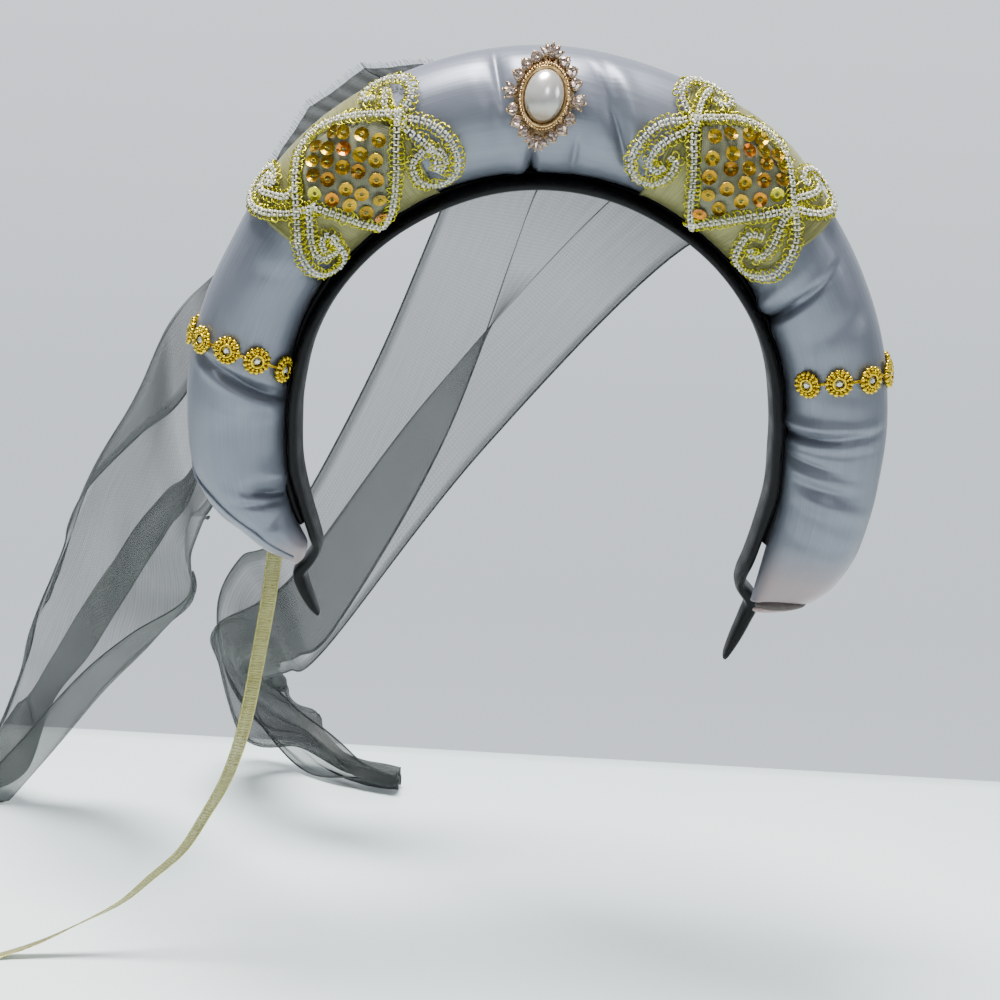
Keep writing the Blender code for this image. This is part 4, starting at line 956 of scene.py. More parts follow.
for side in ("left", "right"):
    cloth = keep(buildTissue(side), "gold_tissue", "patch_" + side)
    square = keep(buildNet(side), "gold_tissue")
    discs, threads = buildSequins(side)
    keep(discs, "gold_sequins", "sequins_" + side)
    keep(threads, "gold_sequins")
print("squares made")

# the beaded braid: silver-white cord links with gold loops on both sides
braidMake = {"linkPitch": 1.9, "loopPitch": 1.65, "loopAside": 0.9, "loopDrop": 0.25, "lift": 2.75,
             "under": 0.05}
braidStrands = {  # angle along the roll, angle round it
    "left": [
        [(-26.6, 61), (-30.5, 52), (-34.0, 42), (-37.8, 33), (-41.2, 30), (-44.0, 35), (-46.0, 46),
         (-48.4, 60), (-51.2, 76), (-55.4, 93), (-58.0, 108), (-59.2, 124), (-58.6, 140), (-55.8, 147),
         (-52.8, 139), (-51.0, 122), (-50.2, 116), (-50.8, 108), (-52.5, 109), (-53.8, 115)],
        [(-26.9, 58), (-28.6, 75), (-30.5, 91), (-32.5, 106), (-35.5, 123), (-38.6, 137), (-41.6, 147)],
        [(-43.0, 149), (-42.9, 141), (-44.0, 128), (-45.4, 112), (-46.9, 97), (-48.8, 83), (-51.4, 92),
         (-53.6, 101), (-55.4, 112), (-55.6, 122), (-54.0, 126), (-52.8, 128), (-51.2, 124), (-51.2, 117)],
        [(-48.4, 60), (-50.4, 60), (-52.0, 50), (-53.2, 38), (-53.5, 32), (-52.5, 24), (-51, 25), (-51, 34)],
        [(-48.0, 84), (-50.4, 78), (-52.8, 69), (-54.8, 57), (-56.0, 42), (-56.0, 26), (-54.6, 12),
         (-52.0, 8), (-50.0, 18), (-49.8, 30), (-51.0, 40), (-51.8, 33)],
        [(-27.5, 65), (-28.6, 55), (-28.4, 44), (-27.8, 36)],
        [(-27.5, 65), (-25.4, 58), (-24.0, 49), (-23.8, 37), (-25.2, 26), (-27.8, 20), (-30.6, 22),
         (-31.6, 31), (-30.2, 36)],
        [(-27.5, 65), (-26.6, 76), (-25.2, 86), (-24.0, 97), (-23.6, 106), (-24.4, 114)],
        [(-27.5, 65), (-25.0, 69), (-22.6, 77), (-20.8, 88), (-19.8, 101), (-20.0, 115), (-21.6, 127),
         (-24.4, 133), (-27.2, 130), (-29, 120), (-28.8, 106), (-27.2, 99), (-24.5, 96), (-22.5, 102),
         (-22.2, 111), (-24, 117)],
    ],
    "right": [
        [(22.8, 58), (25.8, 49), (28.8, 39), (31.8, 32), (34.8, 29), (37.8, 32), (40.4, 41), (42.8, 52),
         (45.0, 62), (47.4, 69), (50.2, 79), (52.4, 93), (53.8, 109), (53.2, 126), (50.6, 139), (47.0, 136),
         (44.8, 121), (44.0, 108), (45.6, 101)],
        [(23.3, 50), (24.2, 71), (26.2, 87), (28.5, 104), (30.8, 121), (33.5, 137), (35.2, 146)],
        [(34.6, 149), (35.2, 140), (37.0, 125), (39.5, 109), (41.8, 95), (43.8, 82), (45.8, 67)],
        [(45.8, 65), (46.0, 77), (47.2, 88), (48.6, 99), (49.2, 110), (48.4, 119), (47, 117)],
        [(45.8, 65), (48.6, 53), (50.4, 39), (50.8, 24), (49.6, 10), (47.0, 6), (44.8, 14), (43.5, 27),
         (43.6, 38), (44.6, 38)],
        [(44.6, 60), (45.8, 49), (46.8, 37), (46.9, 28), (46.2, 22)],
        [(23.5, 57), (21.6, 53), (19.8, 42), (19.8, 28), (21.2, 15), (23.8, 9), (26.6, 12), (27.8, 22),
         (26.8, 31), (25.4, 30)],
        [(23.5, 57), (23.2, 43), (23.4, 31), (23.8, 23)],
        [(23.5, 55), (21.4, 63), (18.8, 70), (16.8, 82), (15.6, 97), (15.8, 113), (18.2, 125), (21.4, 124),
         (23.6, 112), (23.8, 98), (22.6, 95)],
        [(23.5, 57), (22.8, 69), (21.0, 79), (19.4, 90), (18.8, 100), (19.0, 106), (20.8, 111), (21.8, 106)],
    ],
}


def alongStrand(strand, pitch, lift):  # evenly spaced places on the roll with their directions
    fine = smoothRows(strand, np.linspace(0, len(strand) - 1, 40 * len(strand)))
    line = onRoll(fine[:, 0], fine[:, 1], lift)
    run = runOf(line)
    count = max(3, int(round(run[-1] / pitch)) + 1)
    spot = smoothRows(fine, evenSteps(run, 0, run[-1], count))
    place = onRoll(spot[:, 0], spot[:, 1], lift)
    up = rollNormal(spot[:, 0], spot[:, 1])
    ahead = unit(np.gradient(place, axis=0))
    return place, up, ahead, unit(np.cross(up, ahead))


def linkShape():  # one link of the cord: two strands of thread held by a cross wrap
    strands = [ballShape((0.0, aside, 0.3), (0.62, 0.42, 0.52), 8, 5) for aside in (0.56, -0.56)]
    return joined([*strands, ballShape((0.80, 0.0, 0.56), (0.22, 1.04, 0.42), 6, 5)])


def loopShape():  # a bent gold wire standing out at the side
    turn = np.linspace(-0.55, math.pi + 0.55, 11)
    height = 0.3 + 0.35 * np.sin(turn * 2 + 0.6)
    return tubeShape(np.stack([0.95 * np.cos(turn), 0.25 + 1.15 * np.sin(turn), height], axis=-1), 0.22, 5)


def stacked(strands):  # the places, normals and directions of all strands
    return [np.concatenate([strand[k] for strand in strands]) for k in range(3)]


def buildBraid(side):
    links, loops = [], []
    pitch, aside = braidMake["loopPitch"], braidMake["loopAside"]
    for k, strand in enumerate(braidStrands[side]):
        lift = braidMake["lift"] - braidMake["under"] * k
        links.append(alongStrand(strand, braidMake["linkPitch"], lift))
        for way, step in ((1, pitch), (-1, pitch * 1.04)):  # gold loops on both sides of the cord
            place, up, ahead, across = alongStrand(strand, step, lift - braidMake["loopDrop"])
            loops.append((place + across * aside * way, up, ahead * way))
    cord = setOnPoints(
        "braidCord" + side.title(), *stacked(links), linkShape(), silverThread,
        **{"Size": 1.1, "Size Spread": 0.08, "Lean Spread": 0.16, "Spin Spread": 0.08, "Seed": 51})
    wires = setOnPoints(
        "braidLoops" + side.title(), *stacked(loops), loopShape(), goldWire,
        **{"Size Spread": 0.24, "Lean Spread": 0.30, "Spin Spread": 0.35, "Seed": 53})
    print("braid", side, len(cord.data.polygons), len(wires.data.polygons))
    return cord, wires


for side in ("left", "right"):
    cord, wires = buildBraid(side)
    keep(cord, "gold_braid", "braid_" + side)
    keep(wires, "gold_braid")

# flower trims: beaded gold wire round a clear cut stone
trimMake = {
    "left": [(-84.2, 148), (-81.9, 111), (-80.9, 78), (-80.9, 44), (-81.2, 10), (-81.6, -25), (-82.0, -60)],
    "right": [(80.0, 124), (79.8, 91), (80.4, 56), (81.0, 21), (81.2, -14), (81.4, -49)],
    "petals": 14,
}


def flowerShape():
    parts = [latheShape([(1.5, 0.55), (3.5, 0.55), (3.55, 0.95), (1.5, 1.25)], 28, close=(True, True))]
    for k in range(trimMake["petals"]):
        a = math.tau * k / trimMake["petals"]
        c, s = math.cos(a), math.sin(a)
        parts.append(ballShape((3.35 * c, 3.35 * s, 1.15), 0.80, 8, 6))
        parts.append(ballShape((2.45 * c, 2.45 * s, 1.55), 0.52, 7, 5))
        wire = [(1.9 * c, 1.9 * s, 1.5), (2.3 * c, 2.3 * s, 1.6), (2.9 * c, 2.9 * s, 1.5)]
        parts.append(tubeShape(wire, 0.2, 5))
    turn = np.arange(28) * math.tau / 28
    rim = np.stack([1.72 * np.cos(turn), 1.72 * np.sin(turn), np.full(28, 1.85)], axis=-1)
    parts.append(tubeShape(rim, 0.36, 8, closed=True))
    return joined(parts)


def cutStoneShape(radius, low, high):  # a round cut stone: girdle, crown facets and table
    turn = np.arange(8) * math.tau / 8
    rows = ((radius, 0.0, low), (radius * 0.82, 0.39, low + (high - low) * 0.6), (radius * 0.48, 0.0, high))
    points = [(size * math.cos(a + shift), size * math.sin(a + shift), height)
              for size, shift, height in rows for a in turn]
    faces = [tuple(range(16, 24)), tuple(reversed(range(8)))]
    for i in (0, 8):
        for k in range(8):
            m = (k + 1) % 8
            lower, upper = (i + k, i + m), (i + 8 + k, i + 8 + m)
            if i == 0:
                faces += [(lower[0], lower[1], upper[0]), (lower[1], upper[1], upper[0])]
            else:
                faces += [(lower[0], upper[1], upper[0]), (lower[0], lower[1], upper[1])]
    return points, faces


def buildTrim(side):
    angle, around = np.array(trimMake[side], float).T
    place, up = onRoll(angle, around, 0.0), rollNormal(angle, around)
    ahead = unit(onRoll(angle, around + 4) - onRoll(angle, around - 4))
    flowers = setOnPoints(
        "flowerTrim" + side.title(), place, up, ahead, flowerShape(), flowerGold,
        **{"Size": 1.12, "Spin Spread": 0.2, "Lean Spread": 0.03, "Seed": 61})
    stones = setOnPoints(
        "flowerStones" + side.title(), place, up, ahead, cutStoneShape(1.42, 1.2, 2.3), clearStone,
        smooth=False, **{"Spin Spread": 0.5, "Lean Spread": 0.06, "Seed": 62})
    wires = []
    for k in range(len(place) - 1):
        t = np.linspace(0, 1, 9)
        for offset, phase in ((-0.62, 0.0), (0.0, 0.2), (0.62, 0.4)):
            a = angle[k] + (angle[k + 1] - angle[k]) * t + offset * (1 - 0.5 * np.sin(math.pi * t)) * 0.6
            r = around[k] + (around[k + 1] - around[k]) * t
            line = onRoll(a, r, 1.0 + 0.12 * np.sin(t * 30 + phase * 9))
            wires.append(tubeShape(line[2:7], 0.19, 5, up=up[k]))
    links = facesOut(makeObject("flowerLinks" + side.title(), *joined(wires), looks=[flowerGold]))
    return flowers, stones, links


for side in ("left", "right"):
    flowers, stones, links = buildTrim(side)
    keep(flowers, "gilt_flowers", "trim_" + side)
    keep(stones, "gilt_flowers")
    keep(links, "gilt_flowers")
print("trims made")

# the pearl brooch
broochMake = {
    "angle": -2.4, "around": 70.5, "lift": 0.7, "turn": 6.7, "border": (9.3, 12.6), "bezel": (7.1, 9.6),
    "rope": (7.15, 9.8, 54), "ropeHeight": 2.8, "pearl": (5.9, 8.1, 5.9), "pearlFoot": 1.5, "leafSize": 1.14,
}
plateProfile = [(0.62, 0.0), (0.98, 0.0), (1.0, 0.5), (0.95, 0.8), (0.78, 1.1), (0.62, 1.1), (0.62, 0.0)]
bezelProfile = [(1.0, 0.9), (1.02, 1.8), (0.99, 2.5), (0.95, 3.05), (0.90, 2.95), (0.80, 2.0), (0.80, 1.2),
                (1.0, 0.9)]
cupProfile = [(1.2, -0.3), (1.3, 0.5), (1.2, 0.75), (1.05, 0.6), (1.0, 0.2)]
broochFans = [(90, 5), (-90, 5), (0, 3), (180, 3)]  # degrees round the oval, leaves
broochSteps = {  # in each quarter: degrees round the oval, for the leaves also their swing
    "leaves": [(21, 0.5), (29, -0.5), (40, 0.5), (48, -0.5), (59, 0.5), (67, -0.5)], "rounds": [25, 44, 63],
}
leafRows = {"cup": [(1.0, 0.0), (1.05, 0.55), (0.95, 0.72), (0.80, 0.62)],
            "stone": [(0.82, 0.4), (0.74, 0.78), (0.38, 1.02)]}


def broochFrame():
    up = rollNormal(broochMake["angle"], broochMake["around"])
    centre = onRoll(broochMake["angle"], broochMake["around"]) + up * broochMake["lift"]
    right = np.array([1.0, 0.0, 0.0])
    right = unit(right - up * np.dot(right, up))
    top = np.cross(up, right)
    c, s = math.cos(math.radians(broochMake["turn"])), math.sin(math.radians(broochMake["turn"]))
    return centre, right * c - top * s, right * s + top * c, up


def broochPoints(points):
    centre, ax, ay, up = broochFrame()
    points = np.asarray(points, float)
    return centre + points[:, 0:1] * ax + points[:, 1:2] * ay + points[:, 2:3] * up


def leafShape(rim):  # a pointed cup for a leaf-cut stone, or the stone itself
    turn = np.arange(12) * math.tau / 12
    narrow = 0.80 * np.sin(turn) * (1 - 0.25 * np.cos(turn))
    outline = np.stack([1.42 * np.cos(turn), narrow, np.zeros(12)], axis=-1)
    rows = leafRows["cup" if rim else "stone"]
    points = [(p[0] * s, p[1] * s, h) for s, h in rows for p in outline]
    faces = [tuple(reversed(range(12)))] if rim else []
    faces += ringFaces(len(rows) - 1, 12, len(rows))
    faces.append(tuple(range((len(rows) - 1) * 12, len(rows) * 12)))
    if rim:
        ball = ballShape((1.42, 0.0, 0.35), 0.36, 7, 5)
        return joined([(points, faces), ball])
    return points, faces


def ropeAndBorder():  # the lobed border plate, and the pearl's bezel with the beaded rope round it
    plate = latheShape(plateProfile, 128, broochMake["border"], 18, 0.05)
    wide, high, beads = broochMake["rope"]
    turn = np.arange(beads) * math.tau / beads
    lift = broochMake["ropeHeight"]
    rope = [ballShape((wide * math.cos(a), high * math.sin(a), lift), 0.46, 8, 5) for a in turn]
    rim = joined([latheShape(bezelProfile, 96, broochMake["bezel"]), *rope])
    return [facesOut(makeObject(name, broochPoints(shape[0]), shape[1], looks=[look]))
            for name, shape, look in (("broochFiligree", plate, roseGold), ("broochRope", rim, bezelGold))]


def leavesAndRounds():  # leaves: x, y, height, direction; rounds: x, y, height
    wide, high = broochMake["border"]
    leaves, rounds = [], []
    for at, count in broochFans:
        a = math.radians(at)
        base = np.array([(wide - 0.6) * math.cos(a), (high - 0.7) * math.sin(a)])
        for k in range(count):
            swing = (k - (count - 1) / 2) * (0.50 if count > 3 else 0.66)
            way = np.array([math.cos(a + swing), math.sin(a + swing)])
            reach = 2.7 if count > 3 else 2.2
            leaves.append((*(base + way * reach * (1 - 0.12 * abs(swing))), 1.05 + 0.2 * (k % 2), *way))
        rounds.append((*(base + 0.4 * np.array([math.cos(a), math.sin(a)])), 1.1))
    for quarter in range(4):
        mirrored = quarter % 2 == 1
        for step, swing in broochSteps["leaves"]:
            at = math.radians(quarter * 90 + (90 - step if mirrored else step))
            outward = unit(np.array([math.cos(at) * high, math.sin(at) * wide]))
            turn = -swing if mirrored else swing
            way = outward * math.cos(turn) + np.array([-outward[1], outward[0]]) * math.sin(turn)
            spot = np.array([wide * math.cos(at), high * math.sin(at)]) * 0.99 + outward * 0.5
            leaves.append((*spot, 1.0, *way))
        for step in broochSteps["rounds"]:
            at = math.radians(quarter * 90 + (90 - step if mirrored else step))
            rounds.append((wide * math.cos(at) * 0.93, high * math.sin(at) * 0.93, 1.25))
    return np.array(leaves), np.array(rounds)


def buildPearl():
    half, foot = broochMake["pearl"], broochMake["pearlFoot"]
    rows = [(math.cos(t), foot + 0.8 + (half[2] - 0.8) * math.sin(t)) for t in np.linspace(0, 1.5, 26)]
    dome = latheShape([(0.90, foot), *rows], 72, half[:2], close=(True, True))
    pearl = facesOut(makeObject("broochPearl", broochPoints(dome[0]), dome[1], looks=[pearlGlaze]))
    low = np.clip(-np.array(dome[0])[:, 1] / half[1] * 1.25, 0.0, 1.0) ** 1.5
    writeValues(pearl, "low", low)  # its lower part is painted darker and browner: a painted reflection of the head below it
    return pearl


def buildBrooch():
    centre, ax, ay, up = broochFrame()
    body, rim = ropeAndBorder()
    leaves, rounds = leavesAndRounds()
    places = broochPoints(leaves[:, :3])
    ahead = leaves[:, 3:4] * ax + leaves[:, 4:5] * ay
    facing = np.broadcast_to(up, places.shape)
    same = {"Size": broochMake["leafSize"], "Lean Spread": 0.1, "Seed": 71}
    cups = setOnPoints("leafCups", places, facing, ahead, leafShape(True), roseGold, **same)
    gems = setOnPoints("leafStones", places, facing, ahead, leafShape(False), blushStone, False, **same)
    places = broochPoints(rounds)
    facing, ahead = np.broadcast_to(up, places.shape), np.broadcast_to(ax, places.shape)
    cup = latheShape(cupProfile, 16, close=(True, False))
    roundCups = setOnPoints("roundCups", places, facing, ahead, cup, roseGold, Seed=72)
    roundGems = setOnPoints(
        "roundStones", places, facing, ahead, cutStoneShape(1.12, 0.25, 1.15), blushStone, smooth=False,
        **{"Spin Spread": 1.0, "Lean Spread": 0.08, "Seed": 73})
    metal = joinObjects("broochSetting", [body, rim, cups, roundCups])
    stones = joinObjects("broochStones", [gems, roundGems])
    return metal, stones, buildPearl()


metal, stones, pearl = buildBrooch()
keep(metal, "rose_gilt", "brooch_setting")
keep(stones, "rose_gilt")
keep(pearl, "pearl", "brooch_pearl")
print("brooch made")

# the black organza veil
veilMake = {
    "gap": 2.4, "reach": 2.6, "gatherRadius": 97.0, "backs": {"left": -21.2, "back": -23.5}, "lowest": -264.2,
    "rowsPerStep": 12, "colsPerStep": 12, "pleats": 17, "pleat": 0.65, "ripples": 7, "ripple": 1.1,
    "seeds": {"left": 81, "back": 83}, "hemStrip": 3.0, "hemRadius": 0.36,
    "bunched": {"left": 0.30, "back": 0.55},
}
veilHeading = {  # headingAngle, headingRadius, headingDepth, gatherAngle
    "left": [(-66.0, 107.0, -19.0, -64.0), (-57.0, 109.5, -18.0, -57.0), (-49.0, 112.5, -16.0, -50.0),
             (-41.8, 115.8, -16.0, -42.0), (-31.1, 116.4, -16.0, -32.0), (-20.0, 109.0, -17.0, -20.0)],
    "back": [(-9.0, 108.0, -20.0, -8.0), (14.0, 108.0, -20.0, 14.0), (36.0, 108.0, -20.0, 36.0),
             (58.0, 106.0, -20.0, 58.0)],
}
veilLines = {  # x, y, z down each fold line
    "left": [
        [
            (-102.7, 39.6, -50), (-117.4, 34, -77), (-134, 59.2, -92.1), (-156, 87.9, -117),
            (-171, 120.7, -141.9), (-185.7, 152.2, -173.1), (-194, 175.1, -198.8), (-209, 196.1, -233.1),
            (-227, 213.1, -250),
        ],
        [
            (-109.3, 42.8, -35.9), (-122.2, 41.4, -54), (-134.6, 61, -80), (-154.3, 91.9, -109.8),
            (-172.2, 125.8, -147.2), (-188.8, 155.5, -183.6), (-197.6, 175.9, -207.9),
            (-212.4, 192.6, -238.6), (-233.5, 214, -255.5),
        ],
        [
            (-99.9, 49.2, -58), (-112.5, 42.7, -104.6), (-124.6, 66, -124.4), (-138.9, 94.3, -147.3),
            (-153.7, 124.7, -171.9), (-166.5, 153.6, -192.1), (-184, 180, -217.1), (-199, 205.3, -252.4),
            (-214.6, 209.3, -263.2),
        ],
        [
            (-95, 50.4, -50.6), (-113, 57.8, -99.2), (-125, 74, -113.5), (-140, 93.2, -131.9),
            (-155.9, 128.2, -152.8), (-173, 163.1, -175.8), (-190, 186, -203.3), (-209.4, 211.8, -234),
            (-228.2, 217.1, -258.9),
        ],
        [
            (-87, 49.4, -52), (-106.1, 44.9, -106.9), (-116.6, 64.1, -120.4), (-120.9, 90.7, -137.1),
            (-122.3, 123.2, -159.3), (-144.1, 165.7, -185.2), (-169.1, 191, -214.1),
            (-206.1, 198.2, -263.2), (-215.3, 188.5, -263.6),
        ],
        [
            (-77, 44.9, -46.3), (-104, 38.2, -109.4), (-109.9, 54.7, -117.1), (-117.3, 83.7, -135.3),
            (-123.2, 116.5, -159.2), (-148.8, 144.5, -180.6), (-172.8, 164, -203.7),
            (-207.8, 190.7, -245.5), (-222.2, 195.5, -254.3),
        ],
    ],
    "back": [
        [
            (-30.1, 81.1, 6), (-59.8, 127, -70.1), (-92.2, 149, -135.8), (-112.1, 183.8, -153.9),
            (-124.8, 225.1, -182), (-125.1, 270.9, -223), (-109, 284.8, -253), (-89, 267.8, -262.9),
            (-69, 253.5, -263.5), (-48, 247.4, -263.5),
        ],
        [
            (0, 93.6, 7.8), (-32, 146.4, -95.3), (-73, 174.2, -177.1), (-88.9, 188.2, -193.1),
            (-101, 217.8, -203.9), (-106.2, 251.2, -215.4), (-99.3, 274.6, -231.1), (-83.8, 277.7, -245.6),
            (-66.1, 265.5, -256.1), (-46.9, 259.5, -258.9),
        ],
        [
            (24.7, 84.3, -1.3), (-38.2, 127.3, -79.7), (-84.3, 143, -149.5), (-104.5, 173.3, -170.5),
            (-123.8, 205.1, -186.9), (-124.6, 230.7, -209.3), (-113.9, 254.5, -243.5),
            (-92, 268.1, -250.6), (-68, 254.1, -258.1), (-48, 245.9, -258.9),
        ],
        [
            (48, 72.2, -18), (-18.1, 123.6, -98.1), (-73.8, 141.2, -180), (-89.2, 171.1, -195.7),
            (-101.8, 205.6, -206.6), (-105.2, 236.5, -216.4), (-99.8, 260.6, -227.6),
            (-86.2, 263.3, -241.4), (-68.9, 247.9, -252.6), (-49.1, 240.1, -255.2),
        ],
    ],
}
fringeMake = {"count": 330, "seed": 5, "radius": 0.045,
              "thread": [(0, 0, -0.6), (0.03, 0.02, 0.4), (-0.03, 0.06, 1.0), (0.05, 0.0, 1.6)]}


def foldColumns(line):
    columns = [line[0]]
    for k in range(1, len(line) - 1):
        here, before, after = line[k], line[k - 1] - line[k], line[k + 1] - line[k]
        near, far = np.linalg.norm(before), np.linalg.norm(after)
        before, after = before / max(near, 1e-6), after / max(far, 1e-6)
        closed = (1 + np.dot(before, after)) / 2
        apart = before - after
        size = np.linalg.norm(apart)
        apart = apart / size if size > 0.05 else np.array([0.0, -1.0, 0.0])
        push = apart * veilMake["gap"] / 2 * closed
        columns += [here + before * min(veilMake["reach"], 0.3 * near) + push, here,
                    here + after * min(veilMake["reach"], 0.3 * far) - push]
    columns.append(line[-1])
    return np.array(columns)


def veilGrid(side):  # rows down the veil and columns across it, from its heading and its fold lines
    table = []
    for (topAngle, topRadius, topDepth, angle), line in zip(veilHeading[side], veilLines[side]):
        top = fromRing(*onCircle(topAngle, topRadius), topDepth)
        gather = fromRing(*onCircle(angle, veilMake["gatherRadius"]), veilMake["backs"][side])
        table.append([top, gather] + [np.array(p, float) for p in line])
    table = np.array(table).transpose(1, 0, 2)
    rows = np.linspace(0, len(table) - 1, veilMake["rowsPerStep"] * (len(table) - 1) + 1)
    grid = np.array([foldColumns(row) for row in smoothRows(table, rows)])
    columns = np.linspace(0, grid.shape[1] - 1, veilMake["colsPerStep"] * (grid.shape[1] - 1) + 1)
    return smoothRows(grid.transpose(1, 0, 2), columns).transpose(1, 0, 2), rows[:, None], columns[None, :]


def veilMoves(side, rows, share):  # moves off the sheet: pleats at the gather, ripples, the crumpled end
    rng = np.random.default_rng(veilMake["seeds"][side])
    steps = len(veilLines[side][0]) + 2
    near, top = np.exp(-((rows - 1.0) / 0.9) ** 2), np.exp(-(rows / 0.55) ** 2)
    pleats = np.sin(share * math.tau * veilMake["pleats"] + 0.6 * np.sin(rows * 1.7))
    move = veilMake["pleat"] * near * pleats + 0.5 * top * np.sin(share * math.tau * 5 + 1.0)
    fall = np.clip((rows - 2.0) / 2.0, 0.0, 1.0) * np.clip((steps - 1.2 - rows) / 1.5, 0.15, 1.0)
    for k in range(veilMake["ripples"]):
        waves, phase, drift = rng.uniform(2.5, 7.5), rng.uniform(0, 6.3), rng.uniform(-0.9, 0.9)
        bend = 0.5 * np.sin(rows * rng.uniform(0.6, 1.6))
        ripple = np.sin(share * waves * 2.2 + phase + drift * rows + bend)
        move = move + veilMake["ripple"] / (1 + 0.4 * k) * fall * ripple
    if side == "back":  # its end lies crumpled on the table
        end = np.clip((rows - 5.0) / 1.5, 0.0, 1.0)
        folds = 2.4 * np.sin(share * 30 + 1.4 * np.sin(rows * 1.3)) + 1.6 * np.sin(share * 53 - rows * 1.1)
        move = move + end * folds
    return move


def veilDense(side, rows, columns, across, share):  # how much of the cloth is closed at each point
    heading = np.clip(1.0 - 0.2 * np.abs(rows - 1.0), 0.0, 0.95) * np.clip((2.4 - rows) / 0.8, 0.0, 1.0)
    dense = heading * (0.88 + 0.12 * np.sin(share * math.tau * veilMake["pleats"]))
    fromEdge = np.minimum(across, across[:, -1:] - across)
    dense = np.maximum(dense, 0.6 * np.clip((veilMake["hemStrip"] - fromEdge) / 0.5, 0.0, 1.0))
    dense = np.maximum(dense, veilMake["bunched"][side] * np.clip((rows - 7.5) / 2.5, 0.0, 1.0))
    for k in range(len(veilLines[side]) - 2):  # the cloth is creased along its inner folds
        crease = 0.55 * np.exp(-((columns - (3 * k + 2)) / 0.4) ** 2)
        dense = np.maximum(dense, crease * np.clip(rows - 2.0, 0, 1))
    return dense


def buildVeil(side):
    grid, rows, columns = veilGrid(side)
    facing = unit(np.cross(np.gradient(grid, axis=0), np.gradient(grid, axis=1)))
    width = np.linalg.norm(np.diff(grid, axis=1), axis=-1)
    across = np.concatenate([np.zeros((len(grid), 1)), np.cumsum(width, axis=1)], axis=1)
    share = across / across[:, -1:]
    grid = grid + facing * veilMoves(side, rows, share)[..., None]
    grid[..., 2] = np.maximum(grid[..., 2], veilMake["lowest"])
    down = np.concatenate([[0], np.cumsum(np.linalg.norm(np.diff(grid, axis=0), axis=-1).mean(axis=1))])
    uv = np.stack([np.broadcast_to(down[:, None], across.shape), share * across[:, -1:].mean()], axis=-1)
    points, faces, corners = gridShape(grid, uv=uv)
    cloth = makeObject("organza" + side.title(), points, faces, [organza], corners)
    writeValues(cloth, "dense", veilDense(side, rows, columns, across, share))
    hems = joined([tubeShape(line, veilMake["hemRadius"], 6) for line in (grid[:, 0], grid[:, -1], grid[-1])])
    hem = sewnTube("organzaHem" + side.title(), hems, organzaHem)
    print("veil", side, "width", round(across[:, -1].mean(), 1), "length", round(down[-1], 1))
    return cloth, hem, grid, facing


def buildFringe(grid, facing):  # frayed threads along the raw top edge of the heading
    count = fringeMake["count"]
    run = runOf(grid[0])
    at = evenSteps(run, 0, run[-1], count)
    edge = smoothRows(grid[0], at) + np.random.default_rng(fringeMake["seed"]).uniform(-0.3, 0.3, (count, 3))
    upward = unit(unit(smoothRows(grid[0] - grid[4], at)) * 0.5 + unit(np.array([-0.55, 0.0, 0.84])))
    thread = tubeShape(fringeMake["thread"], fringeMake["radius"], 3, up=(0, 1, 0))
    return setOnPoints("organzaFringe", edge, upward, smoothRows(facing[0], at), thread, organza,
                       **{"Size Spread": 0.5, "Lean Spread": 0.16, "Seed": 91})


for side in ("left", "back"):
    cloth, hem, grid, facing = buildVeil(side)
    keep(cloth, "black_organza", "veil_" + side + "_tail")
    keep(hem, "black_organza")
    if side == "left":
        keep(buildFringe(grid, facing), "black_organza")
print("veils made")

# the flat gold mesh tie
tieMake = {"width": 5.5, "ribPitch": 1.1, "filmHalf": 0.12, "crown": 0.12, "edgeRadius": 0.26,
           "ribRadius": 0.13}
tiePoints = [  # x, y, z, turn of its width
    (-83.0, 33.2, -117.6, 20), (-83.9, 34.2, -125.0, 20), (-85.2, 33.6, -139.9, 25),
    (-87.6, 32.4, -159.2, 30), (-90.1, 31.2, -177.2, 35), (-92.7, 30.2, -190.5, 40),
    (-96.8, 29.0, -203.2, 45), (-102.6, 28.0, -214.6, 50), (-110.0, 27.0, -227.3, 55),
    (-120.2, 26.0, -237.3, 60), (-129.9, 25.0, -246.2, 68), (-144.0, 23.0, -254.1, 78),
    (-156.2, 21.0, -260.2, 86), (-168.0, 18.0, -264.2, 90), (-176.2, 12.0, -264.3, 90),
]


